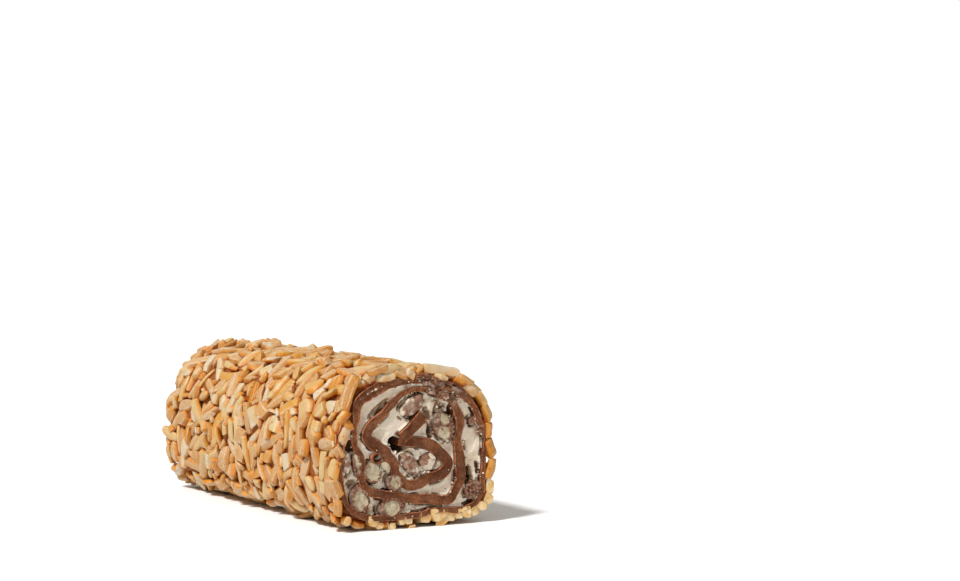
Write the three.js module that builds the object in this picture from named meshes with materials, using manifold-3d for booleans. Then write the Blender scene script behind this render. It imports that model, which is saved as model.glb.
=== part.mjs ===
// A rolled Turkish delight lying on its flat side: a chocolate sheet rolled up with white cream and
// chocolate-coated nuts, its last turn stuck all over with slivered almonds, and both ends cut.
// Millimetres. X runs across the cut ends, Y along the roll and Z up. The near end is at -Y, and the
// origin is on the floor under the middle of the roll.
import * as THREE from "three";
import { mergeVertices } from "three/addons/utils/BufferGeometryUtils.js";
import Module from "manifold-3d";

const wasm = await Module();
wasm.setup();

const TURN = 2 * Math.PI;

// The roll, measured over the last turn of the sheet at a cut end.
const ROLL_LENGTH = 121;
const HALF_WIDTH = 24.9;
const TOP_RISE = 21.2;
const BOTTOM_DROP = 20.9;
const CENTRE_HEIGHT = 23.4;
const TOP_ROUNDNESS = 2.55;
const BOTTOM_ROUNDNESS = 4.2;
const END_Y = ROLL_LENGTH / 2;

// The sheet. Touching pieces keep CLEARANCE between them.
const FLAP_THICKNESS = 3.8;
const UNDERSIDE_THICKNESS = 3.3;
const SHEET_STEP = 1.2;
const MOST_BEND = 0.3;
const LONGEST_SPAN = 8;
const SHORTEST_EDGE = 0.2;
const CLEARANCE = 0.3;
const CREAM_RECESS = 0.7;

// Turns of the sheet, counted clockwise from +X and from the inside out.
const FIRST_TURN = 0.03;
const LAST_TURN_START = 1.545;
const TURN_OVERLAP = 0.05;
const LAP_START = 2.44;
const SHEET_END = 2.54;
const TURN_STEP = 1 / 48;

// The sheet's middle line at each fold: how far out it is, as a share of the way to the last turn,
// and how thick the sheet is there. Between two folds both ease from one value to the next.
const LINE_INSET = 0.8;
const FOLDS = [
  { turn: 0.0, share: 0.31, thickness: 3.5 },
  { turn: 0.07, share: 0.48, thickness: 3.6 },
  { turn: 0.15, share: 0.44, thickness: 3.5 },
  { turn: 0.26, share: 0.53, thickness: 3.0 },
  { turn: 0.42, share: 0.29, thickness: 2.8 },
  { turn: 0.49, share: 0.38, thickness: 3.0 },
  { turn: 0.55, share: 0.68, thickness: 3.4 },
  { turn: 0.62, share: 0.63, thickness: 2.5 },
  { turn: 0.76, share: 0.875, thickness: 1.5 },
  { turn: 0.86, share: 0.81, thickness: 1.8 },
  { turn: 0.91, share: 0.735, thickness: 2.7 },
  { turn: 0.98, share: 0.615, thickness: 2.8 },
  { turn: 1.045, share: 0.645, thickness: 3.5 },
  { turn: 1.1, share: 0.705, thickness: 2.9 },
  { turn: 1.15, share: 0.805, thickness: 3.0 },
  { turn: 1.21, share: 0.745, thickness: 2.8 },
  { turn: 1.36, share: 0.665, thickness: 2.8 },
  { turn: 1.425, share: 0.735, thickness: 2.5 },
  { turn: 1.475, share: 0.715, thickness: 2.1 },
  { turn: 1.53, share: 0.83, thickness: 1.6 },
  { turn: 1.565, share: 0.86, thickness: 1.5 },
  { turn: 1.615, share: 0.99, thickness: 2.4 },
  { turn: 1.66, share: 1.0, thickness: 2.9 },
  { turn: 1.76, share: 1.0, thickness: 1.6 },
  { turn: 1.86, share: 0.955, thickness: 1.6 },
  { turn: 1.94, share: 0.955, thickness: 1.5 },
  { turn: 1.99, share: 1.01, thickness: 1.5 },
  { turn: 2.05, share: 0.985, thickness: 1.6 },
  { turn: 2.11, share: 1.02, thickness: 1.8 },
  { turn: 2.185, share: 0.93, thickness: 1.8 },
  { turn: 2.25, share: 0.985, thickness: 2.0 },
  { turn: 2.4, share: 1.0, thickness: 1.7 },
  { turn: 2.47, share: 1.02, thickness: 1.5 },
  { turn: 2.51, share: 1.0, thickness: 1.5 },
  { turn: 2.55, share: 0.935, thickness: 1.5 },
];

// The sheet's inner end is folded over: a free flap, then the fold's underside that runs out to
// the first turn. Points are [x, z] from the centre.
const FLAP = [
  [3.3, 10.0],
  [-0.6, 6.2],
  [-4.0, 3.4],
];
const FLAP_UNDERSIDE = [
  [-4.4, 2.9],
  [-1.4, 2.3],
  [2.6, 1.9],
  [6.4, 0.4],
];

// The sheet swells between its cut ends, where the knife pressed it in.
const SHOULDER_LENGTH = 11;
const SHOULDER_TOP_DROP = 1.5;
const SHOULDER_SIDE_DROP = 0.5;
const SWELL = 0.7;
const LEAST_BED = 0.35;
const LUMP = 0.35;
const LUMP_LENGTH = 15;
const SMALL_LUMP = 0.6;
const SMALL_LUMP_LENGTH = 9;
const FLAT_BELOW = -0.9;
const FLAT_FADE = 0.5;
const SKIN_SIDES = 24;
const SKIN_STATIONS = 6;
const ARC_STEPS = 360;
const FRAME_ANGLE = 0.02;
const FRAME_REACH = 0.4;
const BEND_ANGLE = 0.15;

// Slivered almonds, the longest first.
const SLIVER_COUNT = 220;
const BENT_SLIVERS = 36;
const LONGEST_SLIVER = 17.5;
const SHORTEST_SLIVER = 8;
const SHORTENING = 0.8;
const LENGTH_SPREAD = [0.88, 1.06];
const SLIVER_WIDTHS = [3.5, 5.6];
const MOSTLY_NARROW = 1.6;
const SLIVER_THICKNESSES = [2.1, 2.8];
const BOTTOM_THICKNESS = 3.1;
const UNDERNEATH = -0.6;
const SLIVER_SINK = 0.6;
const NARROW_END = 0.62;
const BENT_ENDS = 0.6;
const BENT_DROP = 0.5;
const TOP_NARROWING = 0.72;
const SLIVER_SPACING = 0.96;
const SLIVER_PITCH = 0.2;
const SLIVER_ROLL = 0.3;
const AROUND_BIAS = 2;
const DISC_SPACING = 1.6;
const DISC_INSET = 0.8;
const MOST_SAG = 0.8;
const SAG_SHARE = 0.4;
const SLIVER_SEED = 20260;
const MOST_TRIES = 60000;
const END_MARGIN = 2;

// Coated nuts that show in the near cut: [x, z, half width, half height, tilt in degrees].
const NEAR_NUTS = [
  [-18.9, -3.4, 1.5, 4.0, 4],
  [-22.0, -2.9, 1.3, 3.3, -4],
  [-13.6, -6.0, 2.9, 3.4, 10],
  [-6.4, -9.4, 3.0, 2.8, 0],
  [-18.0, -13.9, 3.0, 4.4, 24],
  [-7.6, -16.8, 4.3, 3.2, 4],
  [20.2, -13.4, 3.1, 3.1, 0],
  [10.2, 6.2, 3.3, 4.6, 24],
  [-0.6, 12.9, 4.4, 2.7, 38],
  [-1.2, -4.4, 2.3, 4.6, 38],
  [-9.4, -4.4, 1.8, 1.1, -28],
  [20.0, 7.4, 1.6, 1.3, 20],
  [5.0, -3.9, 2.9, 2.7, 0],
];
const FAR_NUTS = [
  [-20.6, -4.6, 2.1, 3.9, 8],
  [-12.6, -6.6, 3.2, 3.0, 0],
  [-15.6, -14.6, 4.2, 2.6, -18],
  [-5.4, -17.0, 2.6, 1.9, 0],
  [20.4, -12.0, 2.7, 3.6, 0],
  [20.1, 0.6, 2.5, 4.3, -6],
  [8.6, 7.4, 3.4, 2.8, 40],
  [-3.8, 11.0, 2.6, 2.9, 0],
  [2.4, -4.6, 3.6, 2.4, -20],
];
const NUT_DEPTH = 4.2;
const NUT_INSET = 0.8;
const NUT_SIDES = 8;
const NUT_RINGS = 4;

// Hollows left in the cream at each end: [x, z, half width, half height, depth].
const HOLLOWS = [
  [-12.4, -1.9, 1.7, 1.0, 6],
  [-5.6, 0.9, 1.7, 2.0, 7],
  [9.0, 12.4, 1.6, 1.2, 5],
  [19.0, -8.3, 1.3, 2.0, 6],
  [-20.6, -9.0, 1.5, 1.2, 5],
  [14.6, 16.6, 1.5, 0.8, 4],
];
const HOLLOW_SIDES = 8;
const HOLLOW_RINGS = 5;

const clamp01 = (value) => Math.min(1, Math.max(0, value));
const ease = (t) => t * t * (3 - 2 * t);
const mix = (from, to, t) => from + (to - from) * t;

// A repeatable stream of numbers from 0 to 1.
function randomFrom(seed) {
  let state = seed >>> 0;
  return () => {
    state = (state + 0x6d2b79f5) >>> 0;
    let t = state;
    t = Math.imul(t ^ (t >>> 15), t | 1);
    t ^= t + Math.imul(t ^ (t >>> 7), t | 61);
    return ((t ^ (t >>> 14)) >>> 0) / 4294967296;
  };
}

// The distance from the centre to the roll's outline, a rounded box with a flatter bottom.
function outlineRadius(angle, inset) {
  const rising = Math.sin(angle) > 0;
  const height = (rising ? TOP_RISE : BOTTOM_DROP) - inset;
  const power = rising ? TOP_ROUNDNESS : BOTTOM_ROUNDNESS;
  const across = Math.abs(Math.cos(angle)) / (HALF_WIDTH - inset);
  const up = Math.abs(Math.sin(angle)) / height;
  return (across ** power + up ** power) ** (-1 / power);
}

// A place of the sheet on the section: x and z of its middle line from the centre, and, as the
// third number, its thickness.
function sheetPlace(turn) {
  const next = Math.max(1, FOLDS.findIndex((fold) => fold.turn >= turn));
  const [before, after] = [FOLDS[next - 1], FOLDS[next]];
  const t = ease((turn - before.turn) / (after.turn - before.turn));
  const angle = -turn * TURN;
  const radius = mix(before.share, after.share, t) * outlineRadius(angle, LINE_INSET);
  return new THREE.Vector3(
    radius * Math.cos(angle),
    radius * Math.sin(angle),
    mix(before.thickness, after.thickness, t),
  );
}

function spiralPlaces(from, to) {
  const count = Math.max(2, Math.round((to - from) / TURN_STEP));
  return Array.from({ length: count + 1 }, (_, i) => sheetPlace(mix(from, to, i / count)));
}

function foldPlaces(points, thickness) {
  return points.map(([x, z]) => new THREE.Vector3(x, z, thickness));
}

// The section's direction along a line of places.
function directionAt(line, t) {
  const tangent = line.getTangentAt(t);
  return new THREE.Vector2(tangent.x, tangent.y).normalize();
}

// The stations along a line that its shape needs: both ends, and wherever it has bent enough.
function stripStations(line) {
  const steps = Math.ceil(line.getLength() / SHEET_STEP);
  const kept = [0];
  for (let i = 1; i < steps; i += 1) {
    const last = kept.at(-1);
    const bend = directionAt(line, i / steps).angleTo(directionAt(line, last / steps));
    if (bend > MOST_BEND || (i - last) * SHEET_STEP > LONGEST_SPAN) {
      kept.push(i);
    }
  }
  return [...kept, steps].map((i) => i / steps);
}

// The closed outline of a strip that follows a line of places, growth wider on every side.
function stripShape(places, growth) {
  const line = new THREE.CatmullRomCurve3(places);
  const stations = stripStations(line);
  const side = (sign) => {
    const edge = [];
    stations.forEach((station) => {
      const place = line.getPointAt(station);
      const along = directionAt(line, station);
      const half = place.z / 2 + growth;
      const end = station === 0 ? -growth : station === 1 ? growth : 0;
      const made = new THREE.Vector2(
        place.x - sign * along.y * half + along.x * end,
        place.y + sign * along.x * half + along.y * end,
      );
      if (edge.length === 0 || made.clone().sub(edge.at(-1)).dot(along) > SHORTEST_EDGE) {
        edge.push(made);
      }
    });
    return edge;
  };
  return new THREE.Shape([...side(1), ...side(-1).reverse()]);
}

// A closed mesh as a solid that can be joined and cut.
function toSolid(geometry) {
  const bare = geometry.clone();
  bare.deleteAttribute("normal");
  bare.deleteAttribute("uv");
  const merged = mergeVertices(bare, 1e-4);
  return new wasm.Manifold(
    new wasm.Mesh({
      numProp: 3,
      vertProperties: merged.attributes.position.array,
      triVerts: new Uint32Array(merged.index.array),
    }),
  );
}

// A section drawn in x and z, run along the roll and centred on its length.
function prism(shape, length) {
  const geometry = new THREE.ExtrudeGeometry(shape, { depth: length, bevelEnabled: false });
  geometry.rotateX(Math.PI / 2);
  geometry.translate(0, length / 2, CENTRE_HEIGHT);
  return toSolid(geometry);
}

function joined(solids) {
  return solids.reduce((whole, solid) => whole.add(solid));
}

// The largest body of a solid, without the scraps that a cut leaves.
function largestBody(solid) {
  return solid.decompose().reduce((a, b) => (b.volume() > a.volume() ? b : a));
}

// The sheet inside the last turn: its flap, its turns and the lap that closes the last turn.
function innerTurns(growth, length) {
  const turns = [
    ...foldPlaces(FLAP_UNDERSIDE, UNDERSIDE_THICKNESS),
    ...spiralPlaces(FIRST_TURN, LAST_TURN_START + TURN_OVERLAP),
  ];
  const flap = foldPlaces(FLAP, FLAP_THICKNESS);
  const lines = [turns, flap, spiralPlaces(LAP_START, SHEET_END)];
  return joined(lines.map((places) => prism(stripShape(places, growth), length)));
}

// Everything inside the last turn, short of its inner face by a gap.
function core(gap, length) {
  const edge = spiralPlaces(LAST_TURN_START, LAST_TURN_START + 1).slice(0, -1);
  const line = edge.map((place) => {
    const point = new THREE.Vector2(place.x, place.y);
    return point.setLength(point.length() - place.z / 2 - gap);
  });
  return prism(new THREE.Shape(line), length);
}

// How far the almonds' bed stands out from the outline of the cut ends. The floor keeps it flat.
function swellAt(angle, y) {
  const inward = ease(clamp01((END_Y - Math.abs(y)) / SHOULDER_LENGTH));
  const rise = Math.max(0, Math.sin(angle));
  const shoulder = (1 - inward) * mix(SHOULDER_SIDE_DROP, SHOULDER_TOP_DROP, rise);
  const broad = Math.sin(2 * angle + y / LUMP_LENGTH);
  const small = SMALL_LUMP * Math.sin(3 * angle - y / SMALL_LUMP_LENGTH);
  const swell = SWELL + inward * LUMP * (broad + small) - shoulder;
  const aboveFloor = clamp01((Math.sin(angle) - FLAT_BELOW) / FLAT_FADE);
  return Math.max(LEAST_BED, aboveFloor * swell);
}

// A point of the bed that the almonds are stuck to.
function bedPoint(angle, y) {
  const radius = outlineRadius(angle, 0) + swellAt(angle, y);
  return new THREE.Vector3(
    radius * Math.cos(angle),
    y,
    CENTRE_HEIGHT + radius * Math.sin(angle),
  );
}

// The bed's solid: a cylinder whose vertices are moved out to the bed and crowd towards the ends.
function bedSolid() {
  const geometry = new THREE.CylinderGeometry(1, 1, ROLL_LENGTH, SKIN_SIDES, SKIN_STATIONS);
  const position = geometry.attributes.position;
  for (let i = 0; i < position.count; i += 1) {
    const [x, z] = [position.getX(i), position.getZ(i)];
    const y = END_Y * Math.sin((position.getY(i) / ROLL_LENGTH) * Math.PI);
    const share = Math.hypot(x, z);
    const centre = new THREE.Vector3(0, y, CENTRE_HEIGHT);
    const point = share > 0.5 ? bedPoint(Math.atan2(z, x), y) : centre;
    position.setXYZ(i, point.x, point.y, point.z);
  }
  return toSolid(geometry);
}

// The bed's outline at mid-length, as angles that are equally far apart along it.
function evenAngles() {
  const lengths = [0];
  for (let i = 1; i <= ARC_STEPS; i += 1) {
    const a = bedPoint(((i - 1) / ARC_STEPS) * TURN, 0);
    const b = bedPoint((i / ARC_STEPS) * TURN, 0);
    lengths.push(lengths[i - 1] + a.distanceTo(b));
  }
  const whole = lengths[ARC_STEPS];
  return (share) => {
    const wanted = share * whole;
    let i = lengths.findIndex((length) => length > wanted);
    i = i < 1 ? ARC_STEPS : i;
    return ((i - 1 + (wanted - lengths[i - 1]) / (lengths[i] - lengths[i - 1])) / ARC_STEPS) * TURN;
  };
}

// The bed's directions at a point: round the roll, along it and outwards.
function bedFrame(angle, y) {
  const round = bedPoint(angle + FRAME_ANGLE, y).sub(bedPoint(angle - FRAME_ANGLE, y)).normalize();
  const along = bedPoint(angle, y + FRAME_REACH).sub(bedPoint(angle, y - FRAME_REACH)).normalize();
  const out = new THREE.Vector3().crossVectors(along, round).normalize();
  return { round, along, out };
}

// How far a straight piece that reaches this far round the roll stands off it at both ends.
function sagAt(angle, y, reachRound) {
  const [after, before] = [angle + BEND_ANGLE, angle - BEND_ANGLE];
  const bend = bedFrame(after, y).round.distanceTo(bedFrame(before, y).round);
  const reach = bedPoint(after, y).distanceTo(bedPoint(before, y));
  return (reachRound / 2) ** 2 * (bend / reach / 2);
}

// Places for the slivers, spread over the bed, the longest first. Each takes the first free place,
// and most of them lie round the roll rather than along it.
function scatterSlivers() {
  const draw = randomFrom(SLIVER_SEED);
  const angleAt = evenAngles();
  const placed = [];
  for (let tries = 0; placed.length < SLIVER_COUNT && tries < MOST_TRIES; tries += 1) {
    const progress = placed.length / SLIVER_COUNT;
    // The first sliver lies under the middle of the roll, which rests on it.
    const angle = tries === 0 ? -TURN / 4 : angleAt(draw());
    const y = tries === 0 ? 0 : (draw() - 0.5) * (ROLL_LENGTH - END_MARGIN);
    const swing = draw() * 2 - 1;
    const lean = (Math.sign(swing) * Math.abs(swing) ** AROUND_BIAS * Math.PI) / 2;
    const longest = mix(LONGEST_SLIVER, SHORTEST_SLIVER, progress ** SHORTENING);
    const length = longest * mix(LENGTH_SPREAD[0], LENGTH_SPREAD[1], draw());
    const width = mix(SLIVER_WIDTHS[0], SLIVER_WIDTHS[1], draw() ** MOSTLY_NARROW);
    const drawnThickness = mix(SLIVER_THICKNESSES[0], SLIVER_THICKNESSES[1], draw());
    const pitch = (draw() - 0.5) * SLIVER_PITCH;
    const roll = (draw() - 0.5) * SLIVER_ROLL;
    const sag = sagAt(angle, y, length * Math.cos(lean));
    if (sag > MOST_SAG) {
      continue;
    }
    const { round, along, out } = bedFrame(angle, y);
    const axis = round.multiplyScalar(Math.cos(lean)).addScaledVector(along, Math.sin(lean));
    const under = out.z < UNDERNEATH;
    const thickness = under ? BOTTOM_THICKNESS : drawnThickness;
    const lift = thickness / 2 - SLIVER_SINK - sag * SAG_SHARE;
    const centre = bedPoint(angle, y).addScaledVector(out, lift);
    const gaps = Math.ceil((length - width) / DISC_SPACING);
    const discs = Array.from({ length: gaps + 1 }, (_, i) =>
      centre.clone().addScaledVector(axis, (i / gaps - 0.5) * (length - width * DISC_INSET)),
    );
    const clash = placed.some((other) =>
      other.discs.some((a) =>
        discs.some((b) => a.distanceTo(b) < ((other.width + width) / 2) * SLIVER_SPACING),
      ),
    );
    if (clash) {
      continue;
    }
    const bent = placed.length < BENT_SLIVERS;
    placed.push({ centre, axis, out, length, width, thickness, discs, under, bent, pitch, roll });
  }
  return placed;
}

// One sliver: a four-sided bar, narrower on top. A bent one is widest in the middle and drops to
// both ends, and a short one tapers from one end to the other.
function sliverSolid({ centre, axis, out, length, width, thickness, under, bent, pitch, roll }) {
  const geometry = new THREE.BoxGeometry(1, 1, 1, 1, bent ? 2 : 1, 1);
  const position = geometry.attributes.position;
  for (let i = 0; i < position.count; i += 1) {
    const [x, y, z] = [position.getX(i), position.getY(i), position.getZ(i)];
    const taper = bent ? mix(1, BENT_ENDS, Math.abs(y) * 2) : mix(1, NARROW_END, y + 0.5);
    const topping = z > 0 ? TOP_NARROWING : 1;
    const drop = bent ? Math.abs(y) * BENT_DROP * thickness : 0;
    position.setXYZ(i, x * width * taper * topping, y * length, z * thickness - drop);
  }
  const across = new THREE.Vector3().crossVectors(axis, out).normalize();
  const turned = new THREE.Matrix4().makeBasis(across, axis, out);
  if (!under) {
    turned.multiply(new THREE.Matrix4().makeRotationX(pitch));
    turned.multiply(new THREE.Matrix4().makeRotationY(roll));
  }
  geometry.applyMatrix4(turned.setPosition(centre));
  return toSolid(geometry);
}

// All the room between the two cuts and above the floor.
function roomAboveFloor() {
  const size = 4 * HALF_WIDTH;
  const geometry = new THREE.BoxGeometry(size, ROLL_LENGTH, size);
  geometry.translate(0, 0, size / 2);
  return toSolid(geometry);
}

// The sheet with its almond coat: bed and slivers are cut back to the last turn's inner face.
function coatedSheet() {
  const slivers = wasm.Manifold.union(scatterSlivers().map(sliverSolid));
  const coat = bedSolid().add(slivers).subtract(core(0, ROLL_LENGTH + 2)).intersect(roomAboveFloor());
  return largestBody(coat.add(innerTurns(0, ROLL_LENGTH)));
}

// A nut as a rounded solid whose middle lies in the cut plane, grown by an even margin.
function nutSolid([x, z, halfWidth, halfHeight, tilt], endSign, growth) {
  const geometry = new THREE.SphereGeometry(1, NUT_SIDES, NUT_RINGS);
  geometry.rotateX(Math.PI / 2);
  geometry.scale(halfWidth + growth, NUT_DEPTH + growth, halfHeight + growth);
  geometry.rotateY(THREE.MathUtils.degToRad(-tilt));
  geometry.translate(x, endSign * (END_Y - NUT_INSET), z + CENTRE_HEIGHT);
  return toSolid(geometry);
}

function hollowSolid([x, z, halfWidth, halfHeight, depth], endSign) {
  const geometry = new THREE.SphereGeometry(1, HOLLOW_SIDES, HOLLOW_RINGS);
  geometry.rotateX(Math.PI / 2);
  geometry.scale(halfWidth, depth, halfHeight);
  geometry.translate(x, endSign * END_Y, z + CENTRE_HEIGHT);
  return toSolid(geometry);
}

const ENDS = [
  { name: "near", sign: -1, nuts: NEAR_NUTS },
  { name: "far", sign: 1, nuts: FAR_NUTS },
];

// Each nut keeps clear of the sheet, is sliced off in the cut plane, and is one node.
function nutSolids() {
  const sheetRoom = innerTurns(CLEARANCE, ROLL_LENGTH + 2);
  const inside = core(CLEARANCE, ROLL_LENGTH);
  return ENDS.flatMap(({ name, sign, nuts }) =>
    nuts.map((nut, i) => ({
      name: `nut_${name}_${String(i + 1).padStart(2, "0")}`,
      solid: largestBody(nutSolid(nut, sign, 0).intersect(inside).subtract(sheetRoom)),
    })),
  );
}

// The cream fills the core between the turns, a little short of the cuts, round nuts and hollows.
function creamSolid() {
  const filling = core(CLEARANCE, ROLL_LENGTH - 2 * CREAM_RECESS);
  const cuts = [innerTurns(CLEARANCE, ROLL_LENGTH + 2)];
  ENDS.forEach(({ sign, nuts }) => {
    nuts.forEach((nut) => cuts.push(nutSolid(nut, sign, CLEARANCE)));
    HOLLOWS.forEach((hollow) => cuts.push(hollowSolid(hollow, sign)));
  });
  return largestBody(filling.subtract(wasm.Manifold.union(cuts)));
}

// A solid as a mesh with flat shading.
function toMesh(name, solid, material) {
  const { numProp, vertProperties, triVerts } = solid.getMesh();
  const count = vertProperties.length / numProp;
  const position = new Float32Array(count * 3);
  for (let i = 0; i < count; i += 1) {
    position.set(vertProperties.subarray(i * numProp, i * numProp + 3), i * 3);
  }
  const geometry = new THREE.BufferGeometry();
  geometry.setAttribute("position", new THREE.BufferAttribute(position, 3));
  geometry.setIndex(new THREE.BufferAttribute(new Uint32Array(triVerts), 1));
  geometry.computeVertexNormals();
  const mesh = new THREE.Mesh(geometry, material);
  mesh.name = name;
  return mesh;
}

const almondMaterial = new THREE.MeshStandardMaterial({ color: 0xd9a566, roughness: 0.55 });
const creamMaterial = new THREE.MeshStandardMaterial({ color: 0xcfc6b2, roughness: 0.4 });
const nutMaterial = new THREE.MeshStandardMaterial({ color: 0x6d4636, roughness: 0.5 });

const roll = new THREE.Group();
roll.add(toMesh("coated_sheet", coatedSheet(), almondMaterial));
roll.add(toMesh("white_cream", creamSolid(), creamMaterial));
nutSolids().forEach(({ name, solid }) => roll.add(toMesh(name, solid, nutMaterial)));

export default roll;
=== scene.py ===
"""A rolled Turkish delight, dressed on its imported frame.

The roll lies along +Y with its near cut end at -Y. A chocolate sheet is wound up with white cream and
coated nuts, and slivered almonds are stuck all over its last turn. Sizes are in millimetres and become
metres when a mesh is made.
"""

import logging
import math
from dataclasses import dataclass, field
from enum import Enum

import bpy
import numpy as np
from mathutils import Matrix, Vector


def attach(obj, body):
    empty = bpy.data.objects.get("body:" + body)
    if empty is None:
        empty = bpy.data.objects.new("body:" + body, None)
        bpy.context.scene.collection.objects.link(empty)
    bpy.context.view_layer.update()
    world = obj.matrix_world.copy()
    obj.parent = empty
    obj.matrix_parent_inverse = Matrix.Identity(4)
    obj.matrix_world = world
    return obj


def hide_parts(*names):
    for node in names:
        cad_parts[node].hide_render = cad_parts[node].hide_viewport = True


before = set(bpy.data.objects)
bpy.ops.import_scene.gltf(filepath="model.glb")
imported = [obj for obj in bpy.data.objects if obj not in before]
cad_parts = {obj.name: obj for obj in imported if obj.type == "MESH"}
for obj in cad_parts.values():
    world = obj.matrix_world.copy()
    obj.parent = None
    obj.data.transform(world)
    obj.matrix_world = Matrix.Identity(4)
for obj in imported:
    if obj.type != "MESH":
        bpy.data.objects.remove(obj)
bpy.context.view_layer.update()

MM = 0.001
TURN = 2 * math.pi
Array = np.ndarray
Colour = tuple[float, float, float, float]
Node = bpy.types.Node
Socket = bpy.types.NodeSocket
log = logging.getLogger("roll")


def clamp01(value: Array) -> Array:
    """Value held between 0 and 1."""
    return np.clip(value, 0.0, 1.0)


def ease(t: Array) -> Array:
    """A smooth step from 0 to 1."""
    return t * t * (3 - 2 * t)


def rise(value: Array, low: float, high: float) -> Array:
    """A smooth step that starts at low and ends at high."""
    return ease(clamp01((value - low) / (high - low)))


def mix(start: Array, end: Array, t: Array) -> Array:
    """The value that is t of the way from start to end."""
    return start + (end - start) * t


def unit(vectors: Array) -> Array:
    """The vectors at length 1."""
    return vectors / np.linalg.norm(vectors, axis=-1, keepdims=True)


@dataclass
class LatticeNoise:
    """Smooth random values on an endless cubic lattice, the same on every run.

    Attributes:
        seed: Which of the many noises this one is.
    """

    seed: int
    table_size: int = 4096
    primes: tuple[int, int, int] = (73856093, 19349663, 83492791)

    def __post_init__(self) -> None:
        """Draws the table of lattice values."""
        self._table = np.random.default_rng(self.seed).uniform(-1, 1, self.table_size)

    def _corner(self, cell: Array) -> Array:
        """The lattice values at whole-numbered cells."""
        cell = cell.astype(np.int64)
        x, y, z = (cell[..., axis] * prime for axis, prime in enumerate(self.primes))
        key = x ^ y ^ z
        return self._table[(key ^ (key >> 12)) & (self.table_size - 1)]

    def at(self, points: Array, size: float) -> Array:
        """The noise from -1 to 1.

        Args:
            points: Places in millimetres, three numbers each.
            size: The width of a bump in millimetres.

        Returns:
            One value for each point.
        """
        scaled = points / size
        low = np.floor(scaled)
        t = ease(scaled - low)
        total = np.zeros(points.shape[:-1])
        for corner in np.ndindex(2, 2, 2):
            weight = np.prod(np.where(corner, t, 1 - t), axis=-1)
            total += weight * self._corner(low + np.array(corner))
        return total

    def octaves(self, points: Array, size: float, count: int, gain: float = 0.5) -> Array:
        """Several noises, each half the size of the one before and weaker by gain."""
        return sum(gain**i * self.at(points + 37.0 * i, size / 2**i) for i in range(count))


@dataclass
class MeshData:
    """Vertices in millimetres, faces, and values that the finishes read.

    Attributes:
        vertices: One row of x, y and z for each vertex.
        quads: Faces with four corners.
        triangles: Faces with three corners.
        point_values: Named values, one for each vertex.
        face_values: Named values, one for each face, quads first.
    """

    vertices: Array
    quads: Array = field(default_factory=lambda: np.zeros((0, 4), int))
    triangles: Array = field(default_factory=lambda: np.zeros((0, 3), int))
    point_values: dict[str, Array] = field(default_factory=dict)
    face_values: dict[str, Array] = field(default_factory=dict)

    def facing_out(self) -> "MeshData":
        """The same closed mesh with its faces pointing outwards."""
        corners = np.concatenate([self.triangles, self.quads[:, [0, 1, 2]], self.quads[:, [0, 2, 3]]])
        a, b, c = (self.vertices[corners[:, i]] for i in range(3))
        if np.einsum("ij,ij->", a, np.cross(b, c)) < 0:
            self.quads = self.quads[:, ::-1]
            self.triangles = self.triangles[:, ::-1]
        return self

    def to_object(self, name: str, material: bpy.types.Material, sharp_degrees: float) -> bpy.types.Object:
        """A Blender object at the origin.

        Args:
            name: The object's name.
            material: Its finish.
            sharp_degrees: Edges that bend more than this stay crisp.

        Returns:
            The new object, linked to the scene.
        """
        mesh = bpy.data.meshes.new(name)
        mesh.vertices.add(len(self.vertices))
        mesh.vertices.foreach_set("co", (self.vertices * MM).ravel())
        corners = np.concatenate([self.quads.ravel(), self.triangles.ravel()])
        mesh.loops.add(len(corners))
        mesh.loops.foreach_set("vertex_index", corners)
        quad_starts = np.arange(len(self.quads)) * 4
        triangle_starts = len(self.quads) * 4 + np.arange(len(self.triangles)) * 3
        mesh.polygons.add(len(quad_starts) + len(triangle_starts))
        mesh.polygons.foreach_set("loop_start", np.concatenate([quad_starts, triangle_starts]))
        mesh.update(calc_edges=True)
        for domain, values in (("POINT", self.point_values), ("FACE", self.face_values)):
            for label, value in values.items():
                kind, key = ("FLOAT", "value") if value.ndim == 1 else ("FLOAT_VECTOR", "vector")
                layer = mesh.attributes.new(label, kind, domain)
                layer.data.foreach_set(key, value.astype(np.float32).ravel())
        mesh.validate()
        mesh.shade_smooth()
        mesh.set_sharp_from_angle(angle=math.radians(sharp_degrees))
        mesh.materials.append(material)
        made = bpy.data.objects.new(name, mesh)
        bpy.context.scene.collection.objects.link(made)
        return made


def joined(parts: list[MeshData]) -> MeshData:
    """Several meshes with the same named values as one mesh."""
    starts = np.cumsum([0] + [len(part.vertices) for part in parts[:-1]])

    def all_of(label: str, group: str) -> Array:
        """One named value of all parts."""
        return np.concatenate([getattr(part, group)[label] for part in parts])

    return MeshData(
        np.concatenate([part.vertices for part in parts]),
        np.concatenate([part.quads + start for part, start in zip(parts, starts)]),
        np.concatenate([part.triangles + start for part, start in zip(parts, starts)]),
        {label: all_of(label, "point_values") for label in parts[0].point_values},
        {label: all_of(label, "face_values") for label in parts[0].face_values},
    )


def ring_quads(rows: int, columns: int, wrap_rows: bool = False) -> Array:
    """The faces between closed rings of vertices, stored ring by ring. The last may join the first."""
    row = np.arange(rows if wrap_rows else rows - 1)[:, None]
    column = np.arange(columns)[None, :]
    below, right = (row + 1) % rows, (column + 1) % columns
    here, under = row * columns, below * columns
    corners = (here + column, here + right, under + right, under + column)
    return np.stack(np.broadcast_arrays(*corners), axis=-1).reshape(-1, 4)


def end_caps(rows: int, columns: int) -> Array:
    """Triangles that close both ends of a tube of rings, round two middles stored after its grid."""
    caps = []
    for row in (0, rows - 1):
        ring = row * columns + np.arange(columns)
        middle = np.full(columns, rows * columns + (row > 0))
        caps.append(np.stack([ring, np.roll(ring, -1), middle], axis=1)[:, :: 1 if row else -1])
    return np.vstack(caps)


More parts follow.
